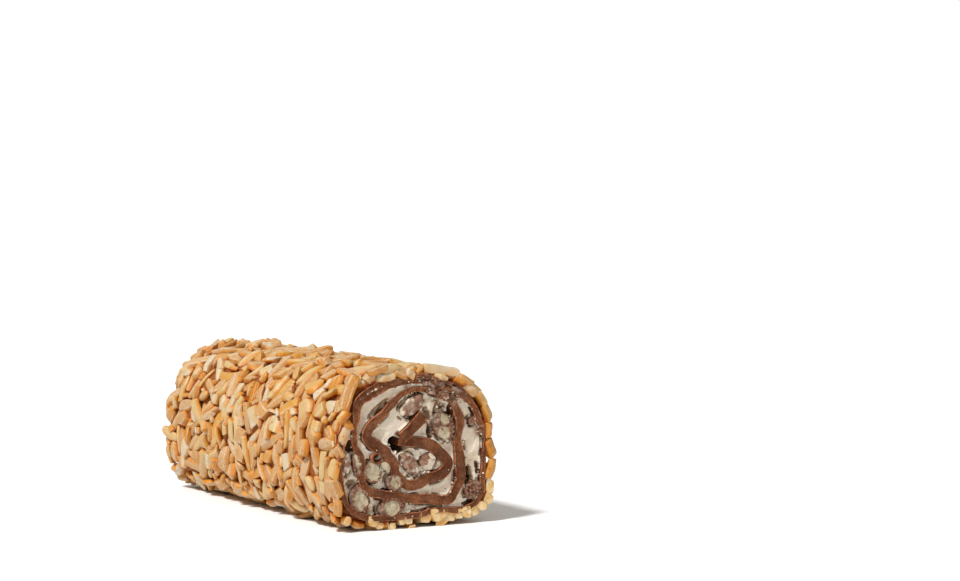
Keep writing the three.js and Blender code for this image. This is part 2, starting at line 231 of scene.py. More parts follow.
@dataclass(frozen=True)
class Fold:
    """A place of the wound sheet.

    Attributes:
        turn: Turns from the inside, clockwise from +X.
        share: How far out its middle line is, as a share of the way to the last turn.
        thickness: The sheet's thickness there.
    """

    turn: float
    share: float
    thickness: float


FOLDS = (
    Fold(0.0, 0.31, 3.5),
    Fold(0.07, 0.48, 3.6),
    Fold(0.15, 0.44, 3.5),
    Fold(0.26, 0.53, 3.0),
    Fold(0.42, 0.29, 2.8),
    Fold(0.49, 0.38, 3.0),
    Fold(0.55, 0.68, 3.4),
    Fold(0.62, 0.63, 2.5),
    Fold(0.76, 0.875, 1.5),
    Fold(0.86, 0.81, 1.8),
    Fold(0.91, 0.735, 2.7),
    Fold(0.98, 0.615, 2.8),
    Fold(1.045, 0.645, 3.5),
    Fold(1.1, 0.705, 2.9),
    Fold(1.15, 0.805, 3.0),
    Fold(1.21, 0.745, 2.8),
    Fold(1.36, 0.665, 2.8),
    Fold(1.425, 0.735, 2.5),
    Fold(1.475, 0.715, 2.1),
    Fold(1.53, 0.83, 1.6),
    Fold(1.565, 0.86, 1.5),
    Fold(1.615, 0.99, 2.4),
    Fold(1.66, 1.0, 2.9),
    Fold(1.76, 1.0, 1.6),
    Fold(1.86, 0.955, 1.6),
    Fold(1.94, 0.955, 1.5),
    Fold(1.99, 1.01, 1.5),
    Fold(2.05, 0.985, 1.6),
    Fold(2.11, 1.02, 1.8),
    Fold(2.185, 0.93, 1.8),
    Fold(2.25, 0.985, 2.0),
    Fold(2.4, 1.0, 1.7),
    Fold(2.47, 1.02, 1.5),
    Fold(2.51, 1.0, 1.5),
    Fold(2.55, 0.935, 1.5),
)


@dataclass(frozen=True)
class Section:
    """The roll's cut: a rounded box with a flatter bottom, which the sheet's turns are measured by."""

    length: float = 121.0
    half_width: float = 24.9
    top_rise: float = 21.2
    bottom_drop: float = 20.9
    centre_height: float = 23.4
    top_roundness: float = 2.55
    bottom_roundness: float = 4.2
    line_inset: float = 0.8
    last_turn_start: float = 1.545

    @property
    def end(self) -> float:
        """How far each cut is from the middle of the roll."""
        return self.length / 2

    def radius(self, angle: Array, inset: float = 0.0) -> Array:
        """The distance from the centre to the outline, less an inset."""
        rising = np.sin(angle) > 0
        height = np.where(rising, self.top_rise, self.bottom_drop) - inset
        power = np.where(rising, self.top_roundness, self.bottom_roundness)
        across = np.abs(np.cos(angle)) / (self.half_width - inset)
        up = np.abs(np.sin(angle)) / height
        return (across**power + up**power) ** (-1 / power)

    def sheet(self, turns: Array) -> tuple[Array, Array]:
        """The sheet at some turns.

        Args:
            turns: Places along the sheet.

        Returns:
            The middle line's x and z from the centre, and the thickness.
        """
        at = np.array([fold.turn for fold in FOLDS])
        after = np.clip(np.searchsorted(at, turns), 1, len(at) - 1)
        t = ease(clamp01((turns - at[after - 1]) / (at[after] - at[after - 1])))
        shares = np.array([fold.share for fold in FOLDS])
        thicknesses = np.array([fold.thickness for fold in FOLDS])
        angle = -turns * TURN
        radius = mix(shares[after - 1], shares[after], t) * self.radius(angle, self.line_inset)
        line = np.stack([radius * np.cos(angle), radius * np.sin(angle)], axis=-1)
        return line, mix(thicknesses[after - 1], thicknesses[after], t)

    def core_radius(self, angle: Array) -> Array:
        """The distance from the centre to the last turn's inner face."""
        turns = (-angle / TURN - self.last_turn_start) % 1.0 + self.last_turn_start
        line, thickness = self.sheet(turns)
        return np.linalg.norm(line, axis=-1) - thickness / 2


@dataclass(frozen=True)
class Bed:
    """The last turn's outside, which the almonds are stuck to. It swells between the cut ends."""

    section: Section
    shoulder_length: float = 11.0
    shoulder_top_drop: float = 1.5
    shoulder_side_drop: float = 0.5
    swell: float = 0.7
    least: float = 0.35
    lump: float = 0.35
    arc_steps: int = 360

    def swell_at(self, angle: Array, y: Array) -> Array:
        """How far the bed stands out from the outline of the cut ends."""
        inward = ease(clamp01((self.section.end - np.abs(y)) / self.shoulder_length))
        up = np.maximum(0.0, np.sin(angle))
        shoulder = (1 - inward) * mix(self.shoulder_side_drop, self.shoulder_top_drop, up)
        lumps = self.lump * (np.sin(2 * angle + y / 15) + 0.6 * np.sin(3 * angle - y / 9))
        above_floor = clamp01((np.sin(angle) + 0.9) / 0.5)
        return np.maximum(self.least, above_floor * (self.swell + inward * lumps - shoulder))

    def point(self, angle: Array, y: Array) -> Array:
        """A point of the bed."""
        angle, y = np.broadcast_arrays(np.asarray(angle, float), np.asarray(y, float))
        radius = self.section.radius(angle) + self.swell_at(angle, y)
        height = self.section.centre_height + radius * np.sin(angle)
        return np.stack([radius * np.cos(angle), y, height], axis=-1)

    def directions(self, angle: float, y: float) -> tuple[Array, Array, Array]:
        """The bed's directions at a point: round the roll, along it and outwards."""
        step = 0.02
        around = unit(self.point(angle + step, y) - self.point(angle - step, y))
        along = unit(self.point(angle, y + step * 20) - self.point(angle, y - step * 20))
        return around, along, unit(np.cross(along, around))

    def arc(self) -> tuple[Array, Array]:
        """Angles round the bed at mid-length, and how far along its outline each one is."""
        angles = np.arange(self.arc_steps + 1) / self.arc_steps * TURN
        steps = np.linalg.norm(np.diff(self.point(angles, 0.0), axis=0), axis=-1)
        return angles, np.concatenate([[0.0], np.cumsum(steps)])


class Wiring:
    """Adds nodes to a node tree and joins them up."""

    def __init__(self, tree: bpy.types.NodeTree) -> None:
        """Takes the tree that the nodes go into."""
        self.tree = tree

    def feed(self, socket: Socket, value: object) -> None:
        """Sets an input to a value, or links it to another socket."""
        if isinstance(value, Socket):
            self.tree.links.new(value, socket)
        else:
            socket.default_value = value

    def fill(self, node: Node, **inputs: object) -> None:
        """Feeds a node's inputs, by name, with underscores for spaces."""
        for name, value in inputs.items():
            self.feed(node.inputs[name.replace("_", " ")], value)

    def add(self, kind: str, settings: dict[str, object] | None = None, **inputs: object) -> Node:
        """A new node.

        Args:
            kind: The node's type, without the word ShaderNode.
            settings: Properties of the node.
            **inputs: Values or sockets for its inputs, as fill takes them.

        Returns:
            The node.
        """
        node = self.tree.nodes.new("ShaderNode" + kind)
        for name, value in (settings or {}).items():
            setattr(node, name, value)
        self.fill(node, **inputs)
        return node

    def math(self, operation: str, first: object, second: object, clamp: bool = False) -> Socket:
        """The result of a sum on two values."""
        node = self.add("Math", {"operation": operation, "use_clamp": clamp})
        self.feed(node.inputs[0], first)
        self.feed(node.inputs[1], second)
        return node.outputs[0]

    def times(self, first: object, second: object) -> Socket:
        """One value times another."""
        return self.math("MULTIPLY", first, second)

    def plus(self, first: object, second: object) -> Socket:
        """One value plus another."""
        return self.math("ADD", first, second)

    def step(self, value: object, low: float, high: float) -> Socket:
        """A smooth step of a value from low to high."""
        smooth = {"interpolation_type": "SMOOTHSTEP"}
        return self.add("MapRange", smooth, Value=value, From_Min=low, From_Max=high).outputs["Result"]

    def layers(self, colour: object, *over: tuple[object, object]) -> Socket:
        """A colour with others laid over it in turn.

        Args:
            colour: The lowest colour.
            *over: How much each further colour covers, and that colour.

        Returns:
            What shows of them all.
        """
        for share, cover in over:
            node = self.add("Mix", {"data_type": "RGBA"})
            for index, value in ((0, share), (6, colour), (7, cover)):
                self.feed(node.inputs[index], value)
            colour = node.outputs[2]
        return colour

    def place(self) -> Socket:
        """The place on the object, in metres."""
        return self.add("TexCoord").outputs["Object"]

    def attribute(self, name: str, output: str = "Fac") -> Socket:
        """A value that the mesh carries."""
        return self.add("Attribute", {"attribute_name": name}).outputs[output]

    def noise(self, vector: object, scale: float, detail: float, roughness: float = 0.5) -> Socket:
        """A noise from 0 to 1, with scale bumps in a unit of the vector."""
        node = self.add("TexNoise", Vector=vector, Scale=scale, Detail=detail, Roughness=roughness)
        return node.outputs["Fac"]


def new_group(name: str, inputs: dict[str, str], outputs: str) -> tuple[Wiring, dict, dict]:
    """An empty shader node group.

    Args:
        name: The group's name.
        inputs: Each input's name and its kind of socket.
        outputs: The names of its outputs, which are plain values.

    Returns:
        Its wiring, the sockets that its inputs come from, and those that its outputs go to.
    """
    tree = bpy.data.node_groups.new(name, "ShaderNodeTree")
    for label, kind in inputs.items():
        tree.interface.new_socket(label, in_out="INPUT", socket_type=f"NodeSocket{kind}")
    for label in outputs.split():
        tree.interface.new_socket(label, in_out="OUTPUT", socket_type="NodeSocketFloat")
    entry, leave = tree.nodes.new("NodeGroupInput"), tree.nodes.new("NodeGroupOutput")
    return Wiring(tree), dict(entry.outputs.items()), dict(leave.inputs.items())


@dataclass(frozen=True)
class SharedEffects:
    """The node groups that several finishes use."""

    grain: bpy.types.NodeTree
    flecks: bpy.types.NodeTree

    @classmethod
    def build(cls) -> "SharedEffects":
        """Makes each group once."""
        return cls(cls._grain(), cls._flecks())

    @staticmethod
    def _grain() -> bpy.types.NodeTree:
        """Grain: fine grit over soft patches. Size is how many grains fit in a metre."""
        inputs = {"Vector": "Vector", "Size": "Float"}
        wiring, given, out = new_group("Grain", inputs, "Height Patches")
        vector, size = given["Vector"], given["Size"]
        wiring.feed(out["Height"], wiring.noise(vector, size, 3.0, 0.65))
        soft = wiring.noise(vector, wiring.times(size, 0.12), 2.0)
        wiring.feed(out["Patches"], wiring.step(soft, 0.3, 0.7))
        return wiring.tree

    @staticmethod
    def _flecks() -> bpy.types.NodeTree:
        """Flecks: small ragged spots. Size is how many fit in a metre, and Spread how many show."""
        inputs = {"Vector": "Vector", "Size": "Float", "Spread": "Float"}
        wiring, given, out = new_group("Flecks", inputs, "Mask")
        vector, size = given["Vector"], given["Size"]
        cells = wiring.add("TexVoronoi", {"feature": "F1"}, Vector=vector, Scale=size)
        near = wiring.math("SUBTRACT", 1.0, wiring.times(cells.outputs["Distance"], 2.2), clamp=True)
        region = wiring.noise(vector, wiring.times(size, 0.3), 2.0)
        chance = wiring.math("SUBTRACT", wiring.plus(region, given["Spread"]), 0.75)
        raw = wiring.plus(wiring.times(near, 0.5), chance)
        wiring.feed(out["Mask"], wiring.step(raw, 0.35, 0.5))
        return wiring.tree

    def add_grain(self, wiring: Wiring, vector: Socket, size: float) -> tuple[Socket, Socket]:
        """The grain's height and its patches in a material."""
        outputs = wiring.add("Group", {"node_tree": self.grain}, Vector=vector, Size=size).outputs
        return outputs["Height"], outputs["Patches"]

    def add_flecks(self, wiring: Wiring, vector: Socket, size: float, spread: float) -> Socket:
        """The flecks' mask in a material."""
        group = {"node_tree": self.flecks}
        return wiring.add("Group", group, Vector=vector, Size=size, Spread=spread).outputs["Mask"]


def new_material(name: str) -> tuple[bpy.types.Material, Wiring, Node]:
    """An empty material with its wiring and its main shader."""
    material = bpy.data.materials.new(name)
    material.use_nodes = True
    return material, Wiring(material.node_tree), material.node_tree.nodes["Principled BSDF"]


def add_relief(wiring: Wiring, shader: Node, height: Socket, depth_mm: float) -> None:
    """Gives a shader a bumpy surface of a stated depth."""
    bump = wiring.add("Bump", Height=height, Distance=depth_mm * MM, Strength=1.0)
    wiring.fill(shader, Normal=bump.outputs["Normal"])


@dataclass(frozen=True)
class ChocolateFinish:
    """Matt milk chocolate. A cut edge has a thin lighter line, and the outside is redder."""

    effects: SharedEffects
    inside: Colour = (0.100, 0.027, 0.008, 1)
    paler: Colour = (0.275, 0.096, 0.036, 1)
    # Painted shade in the small dents.
    painted_pit_shade: Colour = (0.030, 0.008, 0.003, 1)
    edge_line: Colour = (0.46, 0.160, 0.066, 1)
    outside: Colour = (0.36, 0.118, 0.032, 1)
    smeared: Colour = (0.38, 0.26, 0.19, 1)
    wisp: Colour = (0.66, 0.54, 0.43, 1)
    crumbs: Colour = (0.40, 0.22, 0.13, 1)
    frost: Colour = (0.72, 0.56, 0.44, 1)
    relief_mm: float = 0.22

    def build(self) -> bpy.types.Material:
        """Makes the material."""
        material, wiring, shader = new_material("milk_chocolate")
        place = wiring.place()
        grit, patches = self.effects.add_grain(wiring, place, 2600.0)
        powder = wiring.step(wiring.noise(place, 1500.0, 3.0, 0.65), 0.36, 0.66)
        stretches = wiring.step(wiring.noise(place, 110.0, 2.0), 0.34, 0.64)
        bloom = wiring.plus(wiring.times(stretches, 0.6), 0.14)
        smear = wiring.attribute("smear")
        streaks = wiring.step(wiring.noise(place, 480.0, 4.0, 0.6), 0.42, 0.62)
        wisps = wiring.step(wiring.noise(place, 330.0, 5.0, 0.6), 0.54, 0.66)
        pits = self.effects.add_flecks(wiring, place, 3300.0, 0.30)
        dots = self.effects.add_flecks(wiring, place, 2600.0, 0.27)
        broken = wiring.plus(wiring.times(wiring.noise(place, 420.0, 3.0), 1.5), -0.15)
        line = wiring.times(wiring.attribute("edge"), broken)
        ragged = wiring.plus(line, wiring.times(grit, 0.6))
        white_dots = self.effects.add_flecks(wiring, place, 2100.0, 0.36)
        rime = wiring.times(white_dots, wiring.step(ragged, 0.5, 0.9))
        colour = wiring.layers(
            self.inside,
            (wiring.times(wiring.plus(patches, powder), bloom), self.paler),
            (wiring.attribute("skin"), self.outside),
            (wiring.times(streaks, smear), self.smeared),
            (wiring.times(wisps, wiring.step(smear, 0.2, 0.7)), self.wisp),
            # Painted shade in the small dents.
            (wiring.times(pits, 0.6), self.painted_pit_shade),
            (wiring.step(ragged, 0.62, 0.98), self.edge_line),
            (wiring.times(dots, 0.6), self.crumbs),
            (wiring.times(rime, 0.75), self.frost),
        )
        wiring.fill(shader, Base_Color=colour, Roughness=0.55, Specular_IOR_Level=0.09)
        rough = wiring.math("SUBTRACT", wiring.plus(grit, dots), pits)
        add_relief(wiring, shader, wiring.plus(rough, powder), self.relief_mm)
        return material


@dataclass(frozen=True)
class CreamFinish:
    """Soft off-white cream with brown smears. It is brightest where it stands out and darkened as painted
    shade the deeper it lies: browner in its dips and near black in its crevices.
    """

    effects: SharedEffects
    ridge: Colour = (0.75, 0.66, 0.535, 1)
    middle: Colour = (0.70, 0.55, 0.40, 1)
    # Painted shade: the cream turns browner, then near black, the deeper it lies.
    painted_dip_shade: Colour = (0.43, 0.295, 0.18, 1)
    crevice: Colour = (0.055, 0.020, 0.008, 1)
    smear: Colour = (0.30, 0.165, 0.10, 1)
    stain: Colour = (0.43, 0.285, 0.19, 1)
    roughness: tuple[float, float] = (0.5, 0.72)
    bleed: tuple[float, float, float] = (1.0, 0.82, 0.6)
    bleed_mm: float = 1.5
    relief_mm: float = 0.15

    def build(self) -> bpy.types.Material:
        """Makes the material."""
        material, wiring, shader = new_material("white_cream")
        place = wiring.place()
        grit, patches = self.effects.add_grain(wiring, place, 1500.0)
        uneven = wiring.times(wiring.noise(place, 700.0, 4.0, 0.6), 0.4)
        height = wiring.plus(wiring.attribute("height"), wiring.plus(uneven, -0.17))
        stains = wiring.step(wiring.noise(place, 130.0, 4.0, 0.55), 0.52, 0.7)
        smears = wiring.step(wiring.noise(place, 230.0, 4.0, 0.6), 0.62, 0.74)
        bits = self.effects.add_flecks(wiring, place, 1900.0, 0.08)
        # Painted shade by depth: crevice, dip and middle darken the deeper cream.
        colour = wiring.layers(
            self.crevice,
            (wiring.step(height, 0.12, 0.42), self.painted_dip_shade),
            (wiring.step(height, 0.3, 0.54), self.middle),
            (wiring.step(height, 0.42, 0.72), self.ridge),
            (wiring.times(stains, 0.5), self.stain),
            (wiring.times(smears, 0.5), self.smear),
            (wiring.times(bits, 0.7), self.smear),
        )
        least, most = self.roughness
        gloss = wiring.add("MapRange", Value=patches, To_Min=least, To_Max=most)
        wiring.fill(shader, Base_Color=colour, Roughness=gloss.outputs["Result"])
        wiring.fill(shader, Specular_IOR_Level=0.11, Subsurface_Weight=0.7)
        wiring.fill(shader, Subsurface_Radius=self.bleed, Subsurface_Scale=self.bleed_mm * MM)
        add_relief(wiring, shader, wiring.plus(grit, uneven), self.relief_mm)
        return material


@dataclass(frozen=True)
class NutFinish:
    """A cut nut: a pale core in a brown, crumbly coat, smeared with cream where it isn't sliced, with a
    painted dark shadow round its rim.
    """

    effects: SharedEffects
    core: Colour = (0.40, 0.325, 0.20, 1)
    core_middle: Colour = (0.56, 0.475, 0.33, 1)
    coat: Colour = (0.20, 0.082, 0.044, 1)
    coat_light: Colour = (0.49, 0.305, 0.20, 1)
    painted_rim_shadow: Colour = (0.040, 0.013, 0.006, 1)
    cream: Colour = (0.70, 0.60, 0.47, 1)
    bleed: tuple[float, float, float] = (1.0, 0.8, 0.5)
    bleed_mm: float = 0.6
    relief_mm: float = 0.2

    def build(self) -> bpy.types.Material:
        """Makes the material."""
        material, wiring, shader = new_material("coated_nut")
        place = wiring.place()
        grit, _ = self.effects.add_grain(wiring, place, 2400.0)
        in_coat = wiring.attribute("coat")
        mottle = wiring.step(wiring.noise(place, 700.0, 3.0), 0.4, 0.62)
        crumbs = self.effects.add_flecks(wiring, place, 2100.0, 0.46)
        frost = wiring.times(wiring.step(wiring.noise(place, 420.0, 3.0), 0.48, 0.68), 0.42)
        streaks = wiring.step(wiring.noise(place, 260.0, 3.0, 0.55), 0.47, 0.62)
        thick = wiring.times(crumbs, 0.8)
        shell = wiring.layers(self.coat, (frost, self.coat_light), (thick, self.coat_light))
        colour = wiring.layers(
            self.core,
            (mottle, self.core_middle),
            (in_coat, shell),
            # Painted shadow round the rim, where the nut meets the cream.
            (wiring.times(wiring.attribute("rim"), 0.75), self.painted_rim_shadow),
            (wiring.times(streaks, wiring.attribute("smear")), self.cream),
        )
        wiring.fill(shader, Base_Color=colour, Roughness=0.46, Specular_IOR_Level=0.3)
        wiring.fill(shader, Subsurface_Weight=0.12, Subsurface_Radius=self.bleed)
        wiring.fill(shader, Subsurface_Scale=self.bleed_mm * MM)
        add_relief(wiring, shader, wiring.plus(grit, wiring.times(crumbs, in_coat)), self.relief_mm)
        return material


@dataclass(frozen=True)
class AlmondFinish:
    """Toasted almond: each piece has its own tone, golden flanks (toasted sides deepened as painted shade),
    painted shade low down, painted highlights on its upper bevels, fibres and brown specks.

    A smooth piece is buttery and a little glossy, and a matt one is peach with fine orange dots.
    """

    effects: SharedEffects
    ivory: Colour = (0.555, 0.475, 0.34, 1)
    buttery: Colour = (0.54, 0.39, 0.175, 1)
    pale_peach: Colour = (0.53, 0.365, 0.20, 1)
    peach: Colour = (0.51, 0.285, 0.108, 1)
    golden: Colour = (0.54, 0.255, 0.038, 1)
    toasted: Colour = (0.52, 0.185, 0.008, 1)
    # Golden flanks: partly the toasted sides of a piece, partly painted shade on them.
    toasted_flank_and_shade: Colour = (0.58, 0.222, 0.012, 1)
    # Painted shade: the deep orange of the lower sides and of the parts down in the gaps.
    painted_foot_shade: Colour = (0.38, 0.068, 0.001, 1)
    # Painted highlight along the upper bevels.
    painted_highlight: Colour = (0.70, 0.60, 0.46, 1)
    fresh_cut: Colour = (0.90, 0.71, 0.40, 1)
    cut_shade: Colour = (0.76, 0.45, 0.14, 1)
    grit: Colour = (0.44, 0.185, 0.050, 1)
    dot: Colour = (0.40, 0.10, 0.018, 1)
    speck: Colour = (0.16, 0.042, 0.010, 1)
    along_fibres: tuple[float, float, float] = (1.0, 0.25, 1.0)
    roughness: tuple[float, float] = (0.24, 0.55)
    bleed: tuple[float, float, float] = (1.0, 0.75, 0.35)
    bleed_mm: float = 0.45
    relief_mm: float = 0.24

    def build(self) -> bpy.types.Material:
        """Makes the material. Its coordinates are millimetres along each piece."""
        material, wiring, shader = new_material("toasted_almond")
        space = wiring.attribute("piece_space", "Vector")
        fibres = wiring.add("VectorMath", {"operation": "MULTIPLY"})
        wiring.feed(fibres.inputs[0], space)
        wiring.feed(fibres.inputs[1], self.along_fibres)
        fibre, _ = self.effects.add_grain(wiring, fibres.outputs[0], 1.8)
        patches = wiring.noise(space, 0.4, 3.0)
        sand = wiring.noise(space, 1.5, 3.0, 0.7)
        dots = self.effects.add_flecks(wiring, space, 1.1, 0.44)
        specks = self.effects.add_flecks(wiring, space, 0.8, 0.23)
        matt = wiring.attribute("matt")
        shade = wiring.plus(wiring.attribute("toast"), wiring.times(patches, 0.6))
        deeper = wiring.step(shade, 0.3, 0.75)
        # Golden flanks below each top, partly toasted sides and partly painted shade.
        sides = wiring.times(wiring.attribute("side"), wiring.step(patches, 0.0, 0.45))
        sandy = wiring.times(wiring.step(sand, 0.5, 0.64), matt)
        low = wiring.plus(wiring.attribute("low"), wiring.times(patches, 0.45))
        # Painted highlight along the upper bevels of each piece.
        painted_highlight_mask = wiring.times(wiring.attribute("edge"), wiring.step(fibre, 0.35, 0.6))
        cut = wiring.layers(self.fresh_cut, (wiring.step(patches, 0.4, 0.66), self.cut_shade))
        colour = wiring.layers(
            wiring.layers(self.ivory, (deeper, self.buttery)),
            (wiring.step(matt, 0.2, 0.5), wiring.layers(self.pale_peach, (deeper, self.peach))),
            (wiring.step(shade, 0.86, 1.2), self.golden),
            (wiring.step(shade, 1.2, 1.34), self.toasted),
            (wiring.times(sides, 0.9), self.toasted_flank_and_shade),
            (wiring.times(sandy, 0.6), self.grit),
            (wiring.times(dots, wiring.times(matt, 0.6)), self.dot),
            # Painted shade over the low parts of each piece: first the flank colour, then the foot colour.
            (wiring.times(wiring.step(low, 0.2, 0.62), 0.85), self.toasted_flank_and_shade),
            (wiring.times(wiring.step(low, 0.5, 1.0), 0.95), self.painted_foot_shade),
            (wiring.times(painted_highlight_mask, 0.55), self.painted_highlight),
            (wiring.times(wiring.attribute("cut"), 0.9), cut),
            (wiring.times(specks, 0.65), self.speck),
        )
        least, most = self.roughness
        gloss = wiring.add("MapRange", Value=wiring.plus(matt, patches), From_Min=0.3, From_Max=1.4)
        wiring.fill(gloss, To_Min=least, To_Max=most)
        wiring.fill(shader, Base_Color=colour, Roughness=gloss.outputs["Result"])
        wiring.fill(shader, Specular_IOR_Level=0.4, Subsurface_Weight=0.2)
        wiring.fill(shader, Subsurface_Radius=self.bleed, Subsurface_Scale=self.bleed_mm * MM)
        rough = wiring.times(wiring.plus(sand, fibre), wiring.plus(matt, 0.4))
        add_relief(wiring, shader, wiring.plus(rough, patches), self.relief_mm)
        return material


@dataclass(frozen=True)
class CrumbFinish:
    """Loose crumbs of one colour, a little uneven.

    Attributes:
        effects: The shared node groups.
        name: The material's name.
        colour: The crumbs' colour.
        lighter: The colour of their grains.
    """

    effects: SharedEffects
    name: str
    colour: Colour
    lighter: Colour
    relief_mm: float = 0.08

    def build(self) -> bpy.types.Material:
        """Makes the material."""
        material, wiring, shader = new_material(self.name)
        place = wiring.place()
        grit, _ = self.effects.add_grain(wiring, place, 3000.0)
        colour = wiring.layers(self.colour, (wiring.step(grit, 0.4, 0.65), self.lighter))
        wiring.fill(shader, Base_Color=colour, Roughness=0.55, Specular_IOR_Level=0.25)
        add_relief(wiring, shader, grit, self.relief_mm)
        return material


@dataclass
class RolledSheet:
    """The wound chocolate sheet: the folded flap, the inner turns, and the last turn round them."""

    section: Section
    bed: Bed
    first_turn: float = 0.03
    turn_overlap: float = 0.045
    lap: tuple[float, float] = (2.44, 2.54)
    step_mm: float = 0.35
    turn_step: float = 0.002
    flap_thickness: float = 3.8
    underside_thickness: float = 3.3
    edge_line_width: float = 0.26
    lip: float = 0.22
    syrup_depth: float = 0.45
    broad_turn: float = 1.64
    broad_reach: float = 0.035
    broader: float = 1.1
    torn_place: tuple[float, float] = (8.5, 18.0)
    torn_reach: tuple[float, float] = (5.0, 10.0)
    torn_layers: tuple[tuple[float, tuple[tuple[float, float], ...]], ...] = (
        (1.3, ((-0.8, 20.2), (1.2, 21.9), (3.4, 21.6), (6.4, 20.2), (9.8, 18.3), (12.6, 16.8))),
        (0.6, ((1.8, 22.6), (4.7, 22.0), (7.4, 20.9), (10.8, 19.6), (14.2, 18.7), (15.8, 17.2))),
    )
    layer_reach: float = 6.0
    cup_place: tuple[float, float] = (-12.4, -1.9)
    cup_radii: tuple[float, float] = (1.75, 1.45)
    cup_wall: float = 0.5
    cup_reach: float = 4.5
    around_steps: int = 560
    flap: tuple[tuple[float, float], ...] = ((3.3, 10.0), (-0.6, 6.2), (-4.0, 3.4))
    flap_underside: tuple[tuple[float, float], ...] = ((-4.4, 2.9), (-1.4, 2.3), (2.6, 1.9), (6.4, 0.4))
    noise: LatticeNoise = field(default_factory=lambda: LatticeNoise(11))

    def _smooth_line(self, points: Array) -> Array:
        """The points joined by a smooth line, with each span a Hermite curve."""
        ahead = np.vstack([points[1:], 2 * points[-1] - points[-2]])
        behind = np.vstack([2 * points[0] - points[1], points[:-1]])
        slope = (ahead - behind) / 2
        t = np.linspace(0, 1, 12, endpoint=False)[:, None]
        spans = []
        for i in range(len(points) - 1):
            from_point = (2 * t**3 - 3 * t**2 + 1) * points[i] + (t**3 - 2 * t**2 + t) * slope[i]
            to_point = (3 * t**2 - 2 * t**3) * points[i + 1] + (t**3 - t**2) * slope[i + 1]
            spans.append(from_point + to_point)
        return np.vstack([*spans, points[-1:]])

    def _even(self, line: Array, thickness: Array) -> tuple[Array, Array]:
        """The line with its points a step apart."""
        lengths = np.concatenate([[0], np.cumsum(np.linalg.norm(np.diff(line, axis=0), axis=1))])
        wanted = np.linspace(0, lengths[-1], max(4, int(lengths[-1] / self.step_mm)))
        x, z, thick = (np.interp(wanted, lengths, v) for v in (line[:, 0], line[:, 1], thickness))
        return np.stack([x, z], axis=1), thick

    def strips(self) -> list[tuple[Array, Array]]:
        """The middle line and the thickness of the inner turns, the flap and the lap."""
        last = self.section.last_turn_start + self.turn_overlap
        line, thickness = self.section.sheet(np.arange(self.first_turn, last, self.turn_step))
        under = self._smooth_line(np.array([*self.flap_underside, tuple(line[0])]))[:-1]
        flap = self._smooth_line(np.array(self.flap))
        thin = np.full(len(under), self.underside_thickness)
        return [
            self._even(np.vstack([under, line]), np.append(thin, thickness)),
            self._even(flap, np.full(len(flap), self.flap_thickness)),
            self._even(*self.section.sheet(np.arange(*self.lap, self.turn_step))),
        ]

    def nearest(self, x: Array, z: Array) -> tuple[Array, Array]:
        """The sheet's nearest part to each place of the cut.

        Args:
            x: Places from the centre.
            z: Places from the centre.

        Returns:
            How far off the sheet's face is, and how far along the sheet that part is.
        """
        around = self.section.sheet(self.section.last_turn_start + np.arange(0, 1, 0.003))
        lines = [*self.strips(), around]
        middles = np.vstack([line for line, _ in lines])
        halves = np.concatenate([thickness for _, thickness in lines]) / 2
        along = np.cumsum(np.append(0, np.linalg.norm(np.diff(middles, axis=0), axis=1)))
        places = np.stack([x.ravel(), z.ravel()], axis=1)
        gap, reach = np.empty(len(places)), np.empty(len(places))
        for start in range(0, len(places), 4000):
            part = slice(start, start + 4000)
            away = np.linalg.norm(places[part, None] - middles[None], axis=-1) - halves
            closest = away.argmin(axis=1)
            gap[part], reach[part] = away[np.arange(len(closest)), closest], along[closest]
        return gap.reshape(x.shape), reach.reshape(x.shape)

    def _across(self) -> tuple[Array, Array]:
        """Places across a cut from -1 to 1, and how far into the roll its rounded edge takes each."""
        half = np.array([0.28, 0.55, 0.74, 0.85, 0.92, 0.97, 1.0])
        across = np.concatenate([-half[::-1], [0.0], half])
        lip = self.lip * np.exp(-(((np.abs(across) - 0.90) / 0.07) ** 2))
        return across, 0.3 * np.abs(across) ** 22 - lip

    def _torn(self, x: Array, z: Array) -> Array:
        """How torn the sheet is at a place of the cut, from 0 to 1."""
        return 1 - rise(np.hypot(x - self.torn_place[0], z - self.torn_place[1]), *self.torn_reach)

    def _wobble(self, points: Array) -> Array:
        """The same points moved a little, as a soft sheet is uneven."""
        moved = points.copy()
        for axis, amount in ((0, 0.16), (1, 0.14), (2, 0.16)):
            moved[..., axis] += amount * self.noise.octaves(points + 90.0 * axis, 2.4, 4, 0.6)
        moved[..., 1] += 0.3 * self.noise.at(points * (1, 0.1, 1) + 500.0, 7.0)
        return moved

